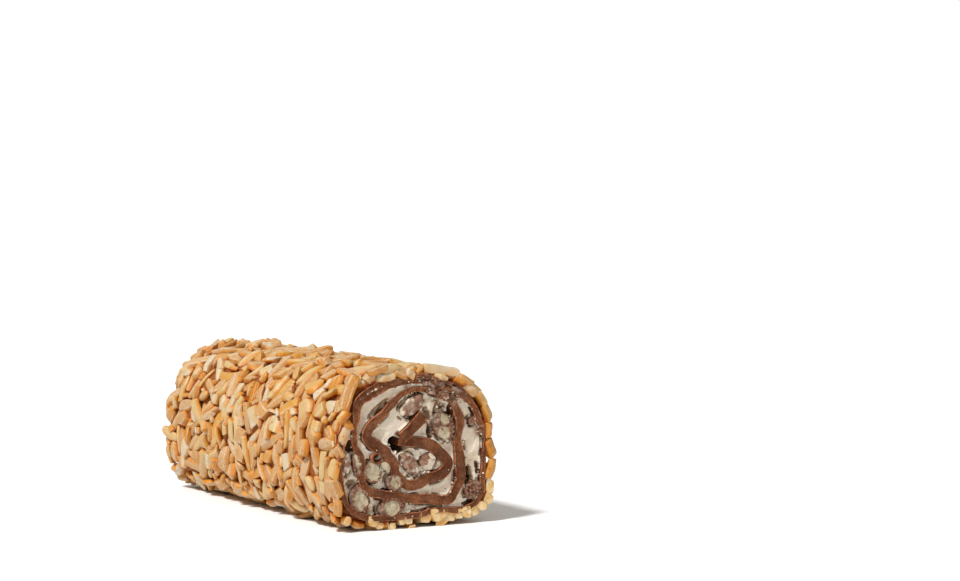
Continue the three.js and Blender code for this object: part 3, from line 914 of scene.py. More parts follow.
    def _strip(self, line: Array, thickness: Array, lift: float, reach: float | None = None) -> MeshData:
        """A strip of sheet that runs from cut to cut, or from the near cut inwards.

        Args:
            line: The middle line on the section.
            thickness: The thickness at each of its points.
            lift: How far its cuts stand out of the others.
            reach: How far it goes into the roll. Without it, the strip runs from cut to cut.

        Returns:
            A closed mesh.
        """
        direction = unit(np.gradient(line, axis=0))
        normal = np.stack([-direction[:, 1], direction[:, 0]], axis=1)
        across, into = self._across()
        end = self.section.end + lift
        depths = np.array([0.5, 0.9, 1.5, 2.3, 3.4, 5.0, 8.0, 14.0, 30.0])
        inward = np.concatenate([-end + depths, [0.0], end - depths[::-1]])
        back = end - into[::-1]
        if reach is not None:
            inward, back = -end + depths[depths < reach], np.full(len(across), reach - end)
        side = np.ones(len(inward))
        v = np.concatenate([across, side, across[::-1], -side])
        y = np.concatenate([-end + into, inward, back, inward[::-1]])
        places = np.stack([line[:, 0], np.zeros(len(line)), line[:, 1]], axis=1)
        torn = self._torn(line[:, 0], line[:, 1])[:, None]
        ragged = torn[:, 0] * self.noise.octaves(places + 70, 2.4, 3)
        uneven = 0.12 * self.noise.octaves(places, 5.0, 3) + 0.5 * ragged
        half = thickness / 2 * (1 + uneven)
        flat = line[:, None, :] + normal[:, None, :] * (half[:, None] * v)[:, :, None]
        depth = np.broadcast_to(y, flat.shape[:2])
        points = np.stack([flat[..., 0], depth, flat[..., 1] + self.section.centre_height], axis=-1)
        edge = self._edge(v[None, :] * half[:, None], half[:, None], depth)
        rows, columns = points.shape[:2]
        points = self._wobble(points)
        rough = 0.8 * self.noise.octaves(points + 300.0, 1.8, 3, 0.6)
        points[..., 1] += rough * torn * (np.abs(depth) > end - 2.0)
        vertices = np.vstack([points.reshape(-1, 3), points[0].mean(0), points[-1].mean(0)])
        smear = np.append(np.broadcast_to(0.12 + 0.75 * torn, edge.shape).ravel(), [0, 0])
        values = {"edge": np.append(edge.ravel(), [0, 0]), "skin": 0 * smear, "smear": smear}
        quads = ring_quads(rows, columns)
        return MeshData(vertices, quads, end_caps(rows, columns), values).facing_out()

    def _edge(self, across: Array, half: Array, y: Array) -> Array:
        """How much a place belongs to the lighter line along a cut's edge."""
        near_side = 1 - rise(half - np.abs(across), self.edge_line_width * 0.5, self.edge_line_width * 1.5)
        near_cut = 1 - rise(self.section.end - np.abs(y), 0.55, 1.0)
        return near_side * near_cut

    def _last_turn(self) -> MeshData:
        """The last turn, a closed ring whose outside is the almonds' bed. It is torn at the upper right."""
        end = self.section.end
        turns = self.section.last_turn_start + np.arange(self.around_steps) / self.around_steps
        line, thickness = self.section.sheet(turns)
        angle = -turns * TURN
        radius = np.linalg.norm(line, axis=1)
        across, into = self._across()
        edge_depths = np.array([0.5, 0.9, 1.5, 2.3])
        near, far = -end + edge_depths, end - edge_depths[::-1]
        outer_y = np.concatenate([near, np.arange(-end + 3.5, end - 3.4, 1.5), far])
        inner_y = np.concatenate([near, [5 - end, 9 - end, 0, end - 9, end - 5], far])
        v = np.concatenate([across, np.ones(len(outer_y)), across[::-1], -np.ones(len(inner_y))])
        y = np.concatenate([-end + into, outer_y, end - into[::-1], inner_y[::-1]])
        cut = np.concatenate([np.ones(len(across)), 0 * outer_y, np.ones(len(across)), 0 * inner_y])
        outside = np.concatenate([0 * across, np.ones(len(outer_y)), 0 * across, 0 * inner_y])
        places = np.stack([line[:, 0], 0 * radius, line[:, 1]], axis=1)
        spread = thickness / 2 * (1 + 0.35 * self.noise.octaves(places + 40, 4.5, 3, 0.6)) + 0.12
        at_cut = radius[:, None] + v[None, :] * spread[:, None]
        skin_points = self.bed.point(angle[:, None], y[None, :])
        bed = self.section.radius(angle)[:, None] + self.bed.swell_at(angle[:, None], y[None, :])
        bed = bed + self.syrup_depth * (1 + 0.6 * self.noise.octaves(skin_points + 800, 3.5, 2))
        inward = rise(end - np.abs(y), 0.3, 4.5)[None, :]
        reach = np.where(outside[None, :] > 0, mix(at_cut, np.maximum(bed, at_cut), inward), at_cut)
        torn = self._torn(line[:, 0], line[:, 1])[:, None]
        inner_face = clamp01(-v)[None, :]
        reach = reach - inner_face * torn * (1.0 + 0.9 * self.noise.octaves(places + 900, 2.0, 3)[:, None])
        broad = self.broader * np.exp(-(((turns - self.broad_turn) / self.broad_reach) ** 2))
        reach = reach - inner_face * broad[:, None]
        x, z = reach * np.cos(angle)[:, None], self.section.centre_height + reach * np.sin(angle)[:, None]
        points = np.stack([x, np.broadcast_to(y, reach.shape), z], axis=-1)
        half = thickness[:, None] / 2
        edge = self._edge(v[None, :] * half, half, points[..., 1]) * cut
        skin = np.broadcast_to(outside * rise(end - np.abs(y), 0.6, 2.0), reach.shape)
        torn = torn * cut[None, :]
        vertices = self._wobble(points.reshape(-1, 3)).reshape(points.shape)
        vertices[..., 1] += 0.9 * self.noise.octaves(points + 300.0, 1.8, 3, 0.6) * torn
        smear = np.maximum(0.15 * cut[None, :], 0.9 * torn)
        quads = ring_quads(*reach.shape, wrap_rows=True)
        values = {"edge": (edge * (1 - 0.6 * torn)).ravel(), "skin": skin.ravel(), "smear": smear.ravel()}
        return MeshData(vertices.reshape(-1, 3), quads, point_values=values).facing_out()

    def _scraps(self) -> list[MeshData]:
        """The torn layers under the crest, and a thin empty shell between the turns."""
        scraps = []
        for thickness, points in self.torn_layers:
            smooth = self._smooth_line(np.array(points))
            line, thick = self._even(smooth, np.full(len(smooth), thickness))
            taper = np.sin(np.linspace(0.08, 0.95, len(line)) * math.pi) ** 0.5
            scraps.append(self._strip(line, thick * taper, 0.15, self.layer_reach))
        angle = np.linspace(0.1, TURN - 0.1, 48)
        shell = np.stack([np.cos(angle), np.sin(angle)], axis=1) * self.cup_radii + self.cup_place
        scraps.append(self._strip(shell, np.full(len(shell), self.cup_wall), 0.1, self.cup_reach))
        return scraps

    def build(self) -> MeshData:
        """The whole sheet as one mesh."""
        lifts = (0.0, 0.2, 0.1)
        strips = [self._strip(*strip, lift) for strip, lift in zip(self.strips(), lifts)]
        return joined([*strips, *self._scraps(), self._last_turn()])


@dataclass(frozen=True)
class Oval:
    """An oval place on the cut.

    Attributes:
        x: Its middle on the section.
        z: Its middle on the section.
        half_width: Its reach across before it is tilted.
        half_height: Its reach up before it is tilted.
        tilt: Degrees, counter-clockwise as seen from -Y.
    """

    x: float
    z: float
    half_width: float
    half_height: float
    tilt: float

    def own_place(self, x: Array, z: Array) -> tuple[Array, Array]:
        """Where places of the section lie in the tilted oval, across it and up."""
        tilt = math.radians(self.tilt)
        across = (x - self.x) * math.cos(tilt) + (z - self.z) * math.sin(tilt)
        return across, (z - self.z) * math.cos(tilt) - (x - self.x) * math.sin(tilt)

    def on_section(self, across: Array, up: Array) -> tuple[Array, Array]:
        """Where places of the tilted oval lie on the section."""
        tilt = math.radians(self.tilt)
        x = self.x + across * math.cos(tilt) - up * math.sin(tilt)
        return x, self.z + across * math.sin(tilt) + up * math.cos(tilt)


class NutCut(Enum):
    """How a nut meets the cut plane."""

    SLICED = "sliced through, so that its pale core shows"
    WHOLE = "not sliced: its coat bulges out of the cream"
    CRUMBLED = "broken into crumbs round a little core"
    DOUBLE = "two pale cores in one crumbly coat"
    BARE = "a bare white chip without a coat"
    DARK = "a dark piece of chocolate"


@dataclass(frozen=True)
class Nut(Oval):
    """A nut at a cut, placed and sized as its node is.

    Attributes:
        cut: How it meets the cut.
        coat: How thick its coat is, as a share of the usual.
        creamy: How much cream is smeared over it, as a share of the usual.
    """

    cut: NutCut
    coat: float = 1.0
    creamy: float = 1.0


NEAR_NUTS = (
    Nut(-18.9, -3.4, 1.5, 4.0, 4, NutCut.SLICED, 0.6),
    Nut(-22.0, -2.9, 1.3, 3.3, -4, NutCut.WHOLE),
    Nut(-13.6, -6.0, 2.9, 3.4, 10, NutCut.SLICED, 0.6),
    Nut(-6.4, -9.4, 3.0, 2.8, 0, NutCut.SLICED, 1.3),
    Nut(-18.0, -13.9, 3.0, 4.4, 24, NutCut.SLICED, 1.05),
    Nut(-7.6, -16.8, 4.3, 3.2, 4, NutCut.SLICED, 1.15),
    Nut(20.2, -13.4, 3.1, 3.1, 0, NutCut.CRUMBLED),
    Nut(10.2, 6.2, 3.3, 4.6, 24, NutCut.DOUBLE),
    Nut(-0.6, 12.9, 4.4, 2.7, 38, NutCut.WHOLE),
    Nut(-1.2, -4.4, 2.3, 4.6, 38, NutCut.WHOLE, creamy=1.3),
    Nut(-9.4, -4.4, 1.8, 1.1, -28, NutCut.BARE),
    Nut(20.0, 7.4, 1.6, 1.3, 20, NutCut.DARK),
    Nut(5.0, -3.9, 2.9, 2.7, 0, NutCut.WHOLE, creamy=3.0),
)
FAR_NUTS = (
    Nut(-20.6, -4.6, 2.1, 3.9, 8, NutCut.SLICED),
    Nut(-12.6, -6.6, 3.2, 3.0, 0, NutCut.SLICED),
    Nut(-15.6, -14.6, 4.2, 2.6, -18, NutCut.CRUMBLED),
    Nut(-5.4, -17.0, 2.6, 1.9, 0, NutCut.SLICED),
    Nut(20.4, -12.0, 2.7, 3.6, 0, NutCut.SLICED),
    Nut(20.1, 0.6, 2.5, 4.3, -6, NutCut.WHOLE),
    Nut(8.6, 7.4, 3.4, 2.8, 40, NutCut.SLICED),
    Nut(-3.8, 11.0, 2.6, 2.9, 0, NutCut.WHOLE),
    Nut(2.4, -4.6, 3.6, 2.4, -20, NutCut.SLICED),
)


@dataclass
class CoatedNuts:
    """The nuts at both cuts, one piece for each node."""

    section: Section
    depth: float = 4.2
    rings: int = 30
    sides: int = 64
    noise: LatticeNoise = field(default_factory=lambda: LatticeNoise(23))

    def _coat(self, nut: Nut, u: Array, w: Array, ragged: Array) -> Array:
        """How much of the cut face is coat rather than core, in the nut's own directions."""
        r = np.hypot(u, w)
        if nut.cut is NutCut.SLICED:
            from_rim = (1 - r) * min(nut.half_width, nut.half_height)
            return 1 - rise(from_rim + 0.5 * ragged, nut.coat * 0.8, nut.coat * 1.1)
        if nut.cut is NutCut.DOUBLE:
            large = np.hypot((u + 0.28) / 0.58, (w + 0.38) / 0.50)
            small = np.hypot((u - 0.25) / 0.44, (w - 0.44) / 0.38)
            return rise(np.minimum(large, small) + 0.2 * ragged, 0.9, 1.05)
        if nut.cut is NutCut.CRUMBLED:
            return rise(ragged + 1.2 * r**2, -0.3, 0.0)
        return np.zeros_like(r) if nut.cut is NutCut.BARE else np.ones_like(r)

    def _proud(self, nut: Nut, r: Array, coat: Array, ragged: Array, grit: Array) -> Array:
        """How far the cut face stands out of the cut plane."""
        dome = np.sqrt(np.maximum(0.0, 1 - r**2))
        return {
            NutCut.SLICED: coat * (0.35 + 0.6 * grit) + 0.14 * ragged - 0.9 * r**9,
            NutCut.WHOLE: 1.1 * dome - 0.6 + 0.22 * ragged + 0.08 * grit,
            NutCut.CRUMBLED: 0.2 + 0.75 * grit + 0.4 * ragged - 0.9 * r**6,
            NutCut.DOUBLE: 0.1 + coat * (0.25 + 0.6 * grit) + 0.15 * ragged - 0.7 * r**9,
            NutCut.BARE: 0.7 * dome - 0.3 + 0.15 * ragged,
            NutCut.DARK: 0.4 * dome - 0.5 + 0.35 * ragged,
        }[nut.cut]

    def _shape(self, nut: Nut, sign: int, seed: int) -> MeshData:
        """One nut.

        Args:
            nut: Its place, sizes and kind.
            sign: -1 at the near cut and 1 at the far one.
            seed: Sets its own unevenness.

        Returns:
            A closed mesh: a face in the cut, and a rounded back in the cream.
        """
        behind = np.linspace(0.06, 1, 8)
        share = np.concatenate([np.linspace(0, 1, self.rings) ** 0.8, 1 - behind**2])
        back = np.concatenate([np.zeros(self.rings), np.sqrt(behind)])
        around = np.arange(self.sides) / self.sides * TURN
        circle = np.stack([np.cos(around), np.sin(around), 0 * around + seed], 1)
        rim = 1 + 0.11 * self.noise.octaves(circle * 2, 2.2, 4, 0.6)
        r = np.broadcast_to(share[:, None], (len(share), self.sides))
        u, w = r * np.cos(around) * rim, r * np.sin(around) * rim
        local = np.stack([u * nut.half_width, np.zeros_like(u), w * nut.half_height], -1) + 40.0 * seed
        ragged, grit = self.noise.octaves(local, 1.3, 3), self.noise.octaves(local + 7, 0.55, 2)
        coat = self._coat(nut, u, w, ragged)
        front = np.arange(len(share))[:, None] < self.rings
        depth = np.where(front, -self._proud(nut, r, coat, ragged, grit), self.depth * back[:, None] + 0.4)
        x, z = nut.on_section(u * nut.half_width, w * nut.half_height)
        y = sign * (self.section.end - depth)
        vertices = np.stack([x, y, z + self.section.centre_height], -1)
        creamy = {NutCut.WHOLE: 1.0, NutCut.DOUBLE: 0.2, NutCut.DARK: 0.3}.get(nut.cut, 0.15)
        smear = nut.creamy * creamy * (0.3 + 0.7 * rise(r + 0.35 * ragged, 0.5, 0.95))
        bare = 0.0 if nut.cut is NutCut.BARE else 1.0
        # rim: where the painted shadow round the nut's edge goes.
        rim = bare * rise(r + 0.1 * ragged, 0.86, 1.0).ravel()
        values = {"coat": coat.ravel(), "smear": smear.ravel(), "rim": rim}
        quads = ring_quads(len(share), self.sides)
        return MeshData(vertices.reshape(-1, 3), quads, point_values=values).facing_out()

    def pieces(self) -> list[tuple[str, MeshData]]:
        """Each node's name with its mesh."""
        made = []
        for name, sign, nuts in (("near", -1, NEAR_NUTS), ("far", 1, FAR_NUTS)):
            for i, nut in enumerate(nuts):
                seed = i if sign < 0 else i + 20
                made.append((f"nut_{name}_{i + 1:02d}", self._shape(nut, sign, seed)))
        return made


@dataclass(frozen=True)
class Hollow(Oval):
    """A gap in the cream.

    Attributes:
        depth: How far it goes into the roll.
    """

    depth: float


HOLLOWS = (
    Hollow(-12.4, -1.9, 1.6, 1.3, 0, 7),
    Hollow(-5.6, 1.6, 3.0, 2.2, -35, 7),
    Hollow(9.0, 12.4, 2.2, 1.4, 0, 2.6),
    Hollow(19.0, -8.6, 1.3, 3.2, -6, 3.5),
    Hollow(-20.6, -9.0, 1.9, 1.6, 0, 2.4),
    Hollow(14.6, 16.6, 1.8, 1.0, 0, 2.2),
    Hollow(-21.2, 2.0, 1.4, 2.2, 20, 3.5),
    Hollow(-16.7, -9.4, 1.0, 1.7, -30, 3.5),
    Hollow(-8.8, -11.9, 2.4, 0.9, -18, 3.5),
    Hollow(5.6, 5.0, 1.0, 2.8, -8, 3.2),
    Hollow(8.3, -2.0, 0.8, 2.2, 24, 2.8),
    Hollow(17.4, 0.3, 0.7, 1.8, -4, 2.2),
    Hollow(0.8, 16.9, 3.2, 0.9, -14, 3.0),
    Hollow(4.4, 10.6, 1.2, 2.2, 20, 2.4),
    Hollow(7.4, 10.4, 0.9, 1.7, 5, 2.6),
    Hollow(12.6, 10.6, 1.3, 3.0, -4, 3.4),
    Hollow(14.0, -9.6, 1.3, 3.2, -2, 1.9),
    Hollow(19.4, -17.0, 3.2, 1.3, 12, 2.6),
    Hollow(22.0, -7.0, 0.9, 2.8, 4, 2.8),
    Hollow(-11.6, 12.4, 5.2, 1.3, 42, 2.3),
    Hollow(-19.6, -17.0, 1.8, 1.0, -20, 2.6),
)


@dataclass
class CreamFilling:
    """The cream, which fills everything between the turns and shows at both cuts."""

    section: Section
    sheet: RolledSheet
    rings: int = 170
    sides: int = 700
    recess: float = 1.0
    least_recess: float = -0.1
    into_sheet: float = 0.35
    noise: LatticeNoise = field(default_factory=lambda: LatticeNoise(31))

    def _depth(self, x: Array, z: Array, sign: int) -> Array:
        """How far the cream lies behind the cut, in smears, ledges, ridges and dips."""
        gap, along = self.sheet.nearest(x, z)
        flat = np.stack([x, np.full_like(x, 50.0 * sign), z], -1)
        swirl = 1.2 * np.stack([self.noise.at(flat + 11, 5.0), 0 * x, self.noise.at(flat + 77, 5.0)], -1)
        bent = flat + swirl
        beside = np.stack([along / 4.5, np.full_like(x, 9.0 * sign), gap], -1) + swirl / 3
        smears = self.noise.octaves(beside, 1.5, 3, 0.5)
        lumps = self.noise.octaves(bent, 6.5, 3, 0.4)
        ledge = rise(self.noise.octaves(bent + 120, 5.0, 2) + 0.2 * smears, 0.12, 0.34)
        ridges = 1 - np.abs(self.noise.octaves(bent + 200, 3.6, 2, 0.5))
        pulled = self.noise.at(bent + 350, 3.0)
        clinging = 0.6 * (1 - rise(gap, 0.0, 1.1)) * rise(pulled, -0.6, 0.2)
        crevice = 1.25 * (1 - rise(gap, 0.25, 0.8)) * rise(-pulled, 0.15, 0.4)
        folds = 0.12 * smears + 0.10 * self.noise.octaves(bent + 510, 1.4, 2)
        depth = self.recess - 0.55 * lumps - folds + 0.3 * ledge
        depth = depth - 0.12 * (ridges - 0.6) - clinging + crevice
        ragged = self.noise.octaves(bent + 400, 1.5, 3, 0.6)
        depth = depth + self._round_nuts(x, z, sign, ragged)
        for hollow in HOLLOWS:
            across, up = hollow.own_place(x, z)
            wide, high = (across + 0.5 * ragged) / hollow.half_width, (up - 0.5 * ragged) / hollow.half_height
            reach = np.hypot(wide, high)
            depth = np.maximum(depth, hollow.depth * (1 - rise(reach + 0.2 * ragged, 0.6, 1.2)))
        under_sheet = self.recess * (1 - rise(gap, -0.1, 0.35))
        return np.maximum(np.maximum(depth, under_sheet), self.least_recess)

    def _round_nuts(self, x: Array, z: Array, sign: int, ragged: Array) -> Array:
        """How much deeper the cream is where it has come away from a nut."""
        deeper = np.zeros_like(x)
        for nut in NEAR_NUTS if sign < 0 else FAR_NUTS:
            across, up = nut.own_place(x, z)
            outside = np.hypot(across / nut.half_width, up / nut.half_height) - 1
            off = outside * min(nut.half_width, nut.half_height)
            moat = np.exp(-(((off - 0.3) / 0.35) ** 2)) * rise(ragged, -0.15, 0.25)
            deeper = np.maximum(deeper, 1.6 * moat)
        return deeper

    def build(self) -> MeshData:
        """One closed mesh: the near cut, the side wall and the far cut."""
        angle = np.arange(self.sides) / self.sides * TURN
        reach = self.section.core_radius(angle) + self.into_sheet
        share = np.linspace(0, 1, self.rings + 1)[1:] ** 0.85
        x = share[:, None] * reach * np.cos(angle)
        z = share[:, None] * reach * np.sin(angle)
        layers, heights = [], []
        for sign in (-1, 1):
            depth = self._depth(x, z, sign)
            layer = np.stack([x, sign * (self.section.end - depth), z + self.section.centre_height], -1)
            # How far the cream stands out, which the cream finish paints shade by.
            height = clamp01(0.62 - 0.24 * (depth - self.recess))
            layers.append(layer if sign < 0 else layer[::-1])
            heights.append(height if sign < 0 else height[::-1])
        grid = np.concatenate(layers)
        vertices = np.vstack([grid.reshape(-1, 3), grid[0].mean(0), grid[-1].mean(0)])
        height = np.append(np.concatenate(heights).ravel(), [0.6, 0.6])
        quads = ring_quads(len(grid), self.sides)
        caps = end_caps(len(grid), self.sides)
        return MeshData(vertices, quads, caps, {"height": height}).facing_out()


class AlmondKind(Enum):
    """The sizes that almonds are chopped to. Each becomes one piece of the scene."""

    SLIVER = "slivered_almonds"
    SLAB = "flat_almond_slices"
    DICE = "diced_almonds"
    CHIP = "almond_chips"


@dataclass(frozen=True)
class AlmondSize:
    """The range of one kind, from least to most.

    Attributes:
        length: Length range.
        width: Width range.
        thickness: Thickness range.
        tapered: The share of pieces that narrow to both ends. The rest are blunt.
        count: How many to try to place.
        overlap: The share of a piece that may lie on others.
        tumble: How much pieces tilt, in radians.
        sides: How many corners a piece's section has.
        stations: How many sections it has.
    """

    length: tuple[float, float]
    width: tuple[float, float]
    thickness: tuple[float, float]
    tapered: float
    count: int
    overlap: float
    tumble: float
    sides: int = 12
    stations: int = 11


ALMOND_SIZES = {
    AlmondKind.SLIVER: AlmondSize((6.5, 12.0), (3.0, 4.5), (2.0, 2.9), 0.5, 220, 0.34, 0.16),
    AlmondKind.SLAB: AlmondSize((4.6, 8.0), (4.0, 6.0), (1.9, 2.7), 0.1, 320, 0.38, 0.18),
    AlmondKind.DICE: AlmondSize((3.2, 5.6), (2.9, 4.8), (2.1, 3.1), 0.15, 800, 0.42, 0.26),
    AlmondKind.CHIP: AlmondSize((2.0, 3.8), (1.7, 3.1), (1.4, 2.4), 0.25, 900, 0.45, 0.4, 8, 7),
}


@dataclass(frozen=True)
class RimAlmond:
    """A piece at the near cut whose place shows clearly.

    Attributes:
        x: Its middle on the section.
        z: Its middle on the section.
        length: Its length.
        width: Its width.
        thickness: Its thickness.
        tone: How toasted it is, from 0 to 1.
        through: Whether it lies along the roll and is cut through, rather than round the roll.
        tilt: Degrees that it is turned from the way round the roll.
    """

    x: float
    z: float
    length: float
    width: float
    thickness: float
    tone: float
    through: bool = False
    tilt: float = 0.0


RIM_ALMONDS = (
    RimAlmond(-20.8, 17.6, 10.8, 3.8, 3.2, 0.62, tilt=-28),
    RimAlmond(-22.9, 10.8, 4.6, 3.2, 3.2, 0.65, tilt=18),
    RimAlmond(-21.8, 8.2, 3.4, 2.8, 2.6, 0.55, tilt=-40),
    RimAlmond(-23.0, 5.0, 5.0, 2.8, 3.2, 0.05, tilt=12),
    RimAlmond(-25.2, 0.8, 3.6, 3.2, 2.8, 0.1, tilt=-35),
    RimAlmond(-25.8, -4.2, 5.6, 3.4, 3.0, 0.45, tilt=14),
    RimAlmond(-26.0, -10.0, 6.0, 3.0, 2.6, 0.3, tilt=-16),
    RimAlmond(-25.2, -15.4, 4.8, 3.2, 2.8, 0.45, tilt=24),
    RimAlmond(-12.0, 24.0, 6.8, 3.2, 2.5, 0.4, tilt=-4),
    RimAlmond(-7.7, 23.9, 5.4, 3.6, 3.2, 0.3, tilt=10),
    RimAlmond(-14.3, 22.3, 4.4, 3.0, 2.2, 0.05, tilt=-22),
    RimAlmond(-9.3, 21.9, 5.8, 3.0, 2.8, 0.1, tilt=8),
    RimAlmond(-3.7, 22.8, 4.4, 3.6, 3.6, 0.15, tilt=25),
    RimAlmond(-1.0, 22.4, 2.8, 2.2, 2.4, 0.1, tilt=40),
    RimAlmond(9.8, 22.7, 11.4, 5.2, 3.9, 0.15, tilt=-4),
    RimAlmond(15.6, 19.9, 3.4, 1.8, 2.6, 0.6),
    RimAlmond(17.6, 19.6, 5.6, 2.6, 2.4, 0.4),
    RimAlmond(20.9, 17.2, 5.0, 3.0, 2.5, 0.3),
    RimAlmond(19.4, 16.9, 4.6, 2.6, 3.4, 0.1),
    RimAlmond(22.9, 14.0, 5.4, 2.8, 2.6, 0.35),
    RimAlmond(-13.1, -20.6, 6.0, 3.9, 3.0, 0.2, True),
    RimAlmond(-4.3, -21.0, 6.0, 2.8, 2.6, 0.2, True),
    RimAlmond(-1.6, -20.9, 6.0, 2.8, 2.6, 0.1, True),
    RimAlmond(4.0, -20.5, 8.0, 4.7, 3.3, 0.2, True),
    RimAlmond(8.3, -20.1, 7.0, 4.8, 4.1, 0.3, True),
    RimAlmond(12.2, -20.3, 7.0, 4.2, 4.0, 0.35, True),
    RimAlmond(15.1, -20.2, 6.0, 3.0, 3.1, 0.2, True),
    RimAlmond(17.6, -20.1, 6.0, 3.5, 3.6, 0.2, True),
    RimAlmond(20.6, -19.6, 6.0, 3.6, 3.2, 0.3, True),
    RimAlmond(23.1, -18.4, 6.0, 3.2, 3.2, 0.3, True),
    RimAlmond(25.3, -16.2, 6.0, 3.6, 3.1, 0.2, True),
    RimAlmond(26.0, -12.6, 6.0, 4.6, 2.8, 0.15, True),
    RimAlmond(26.2, -7.4, 5.8, 3.2, 3.2, 0.35, tilt=14),
    RimAlmond(26.3, -1.2, 5.6, 3.2, 3.2, 0.4, tilt=-18),
    RimAlmond(25.6, 4.2, 4.6, 2.8, 2.4, 0.3, tilt=10),
    RimAlmond(25.0, 9.6, 5.2, 2.8, 2.6, 0.35, tilt=-12),
)


@dataclass
class AlmondPiece:
    """One placed piece of almond.

    Attributes:
        kind: Which kind it is.
        centre: Its middle.
        basis: Its directions as columns: across, along and out.
        length: Its length.
        width: Its width.
        thickness: Its thickness.
        tone: How toasted it is, where that is known.
        whole: Whether it stands out of the cut instead of ending in it.
    """

    kind: AlmondKind
    centre: Array
    basis: Array
    length: float
    width: float
    thickness: float
    tone: float | None = None
    whole: bool = False


@dataclass
class NumberStream:
    """The repeatable stream of numbers from 0 to 1 that also places the solid slivers."""

    state: int

    def draw(self) -> float:
        """The next number."""
        full = 0xFFFFFFFF
        self.state = (self.state + 0x6D2B79F5) & full
        t = self.state
        t = ((t ^ (t >> 15)) * (t | 1)) & full
        t = t ^ ((t + (((t ^ (t >> 7)) * (t | 61)) & full)) & full)
        return ((t ^ (t >> 14)) & full) / (full + 1)


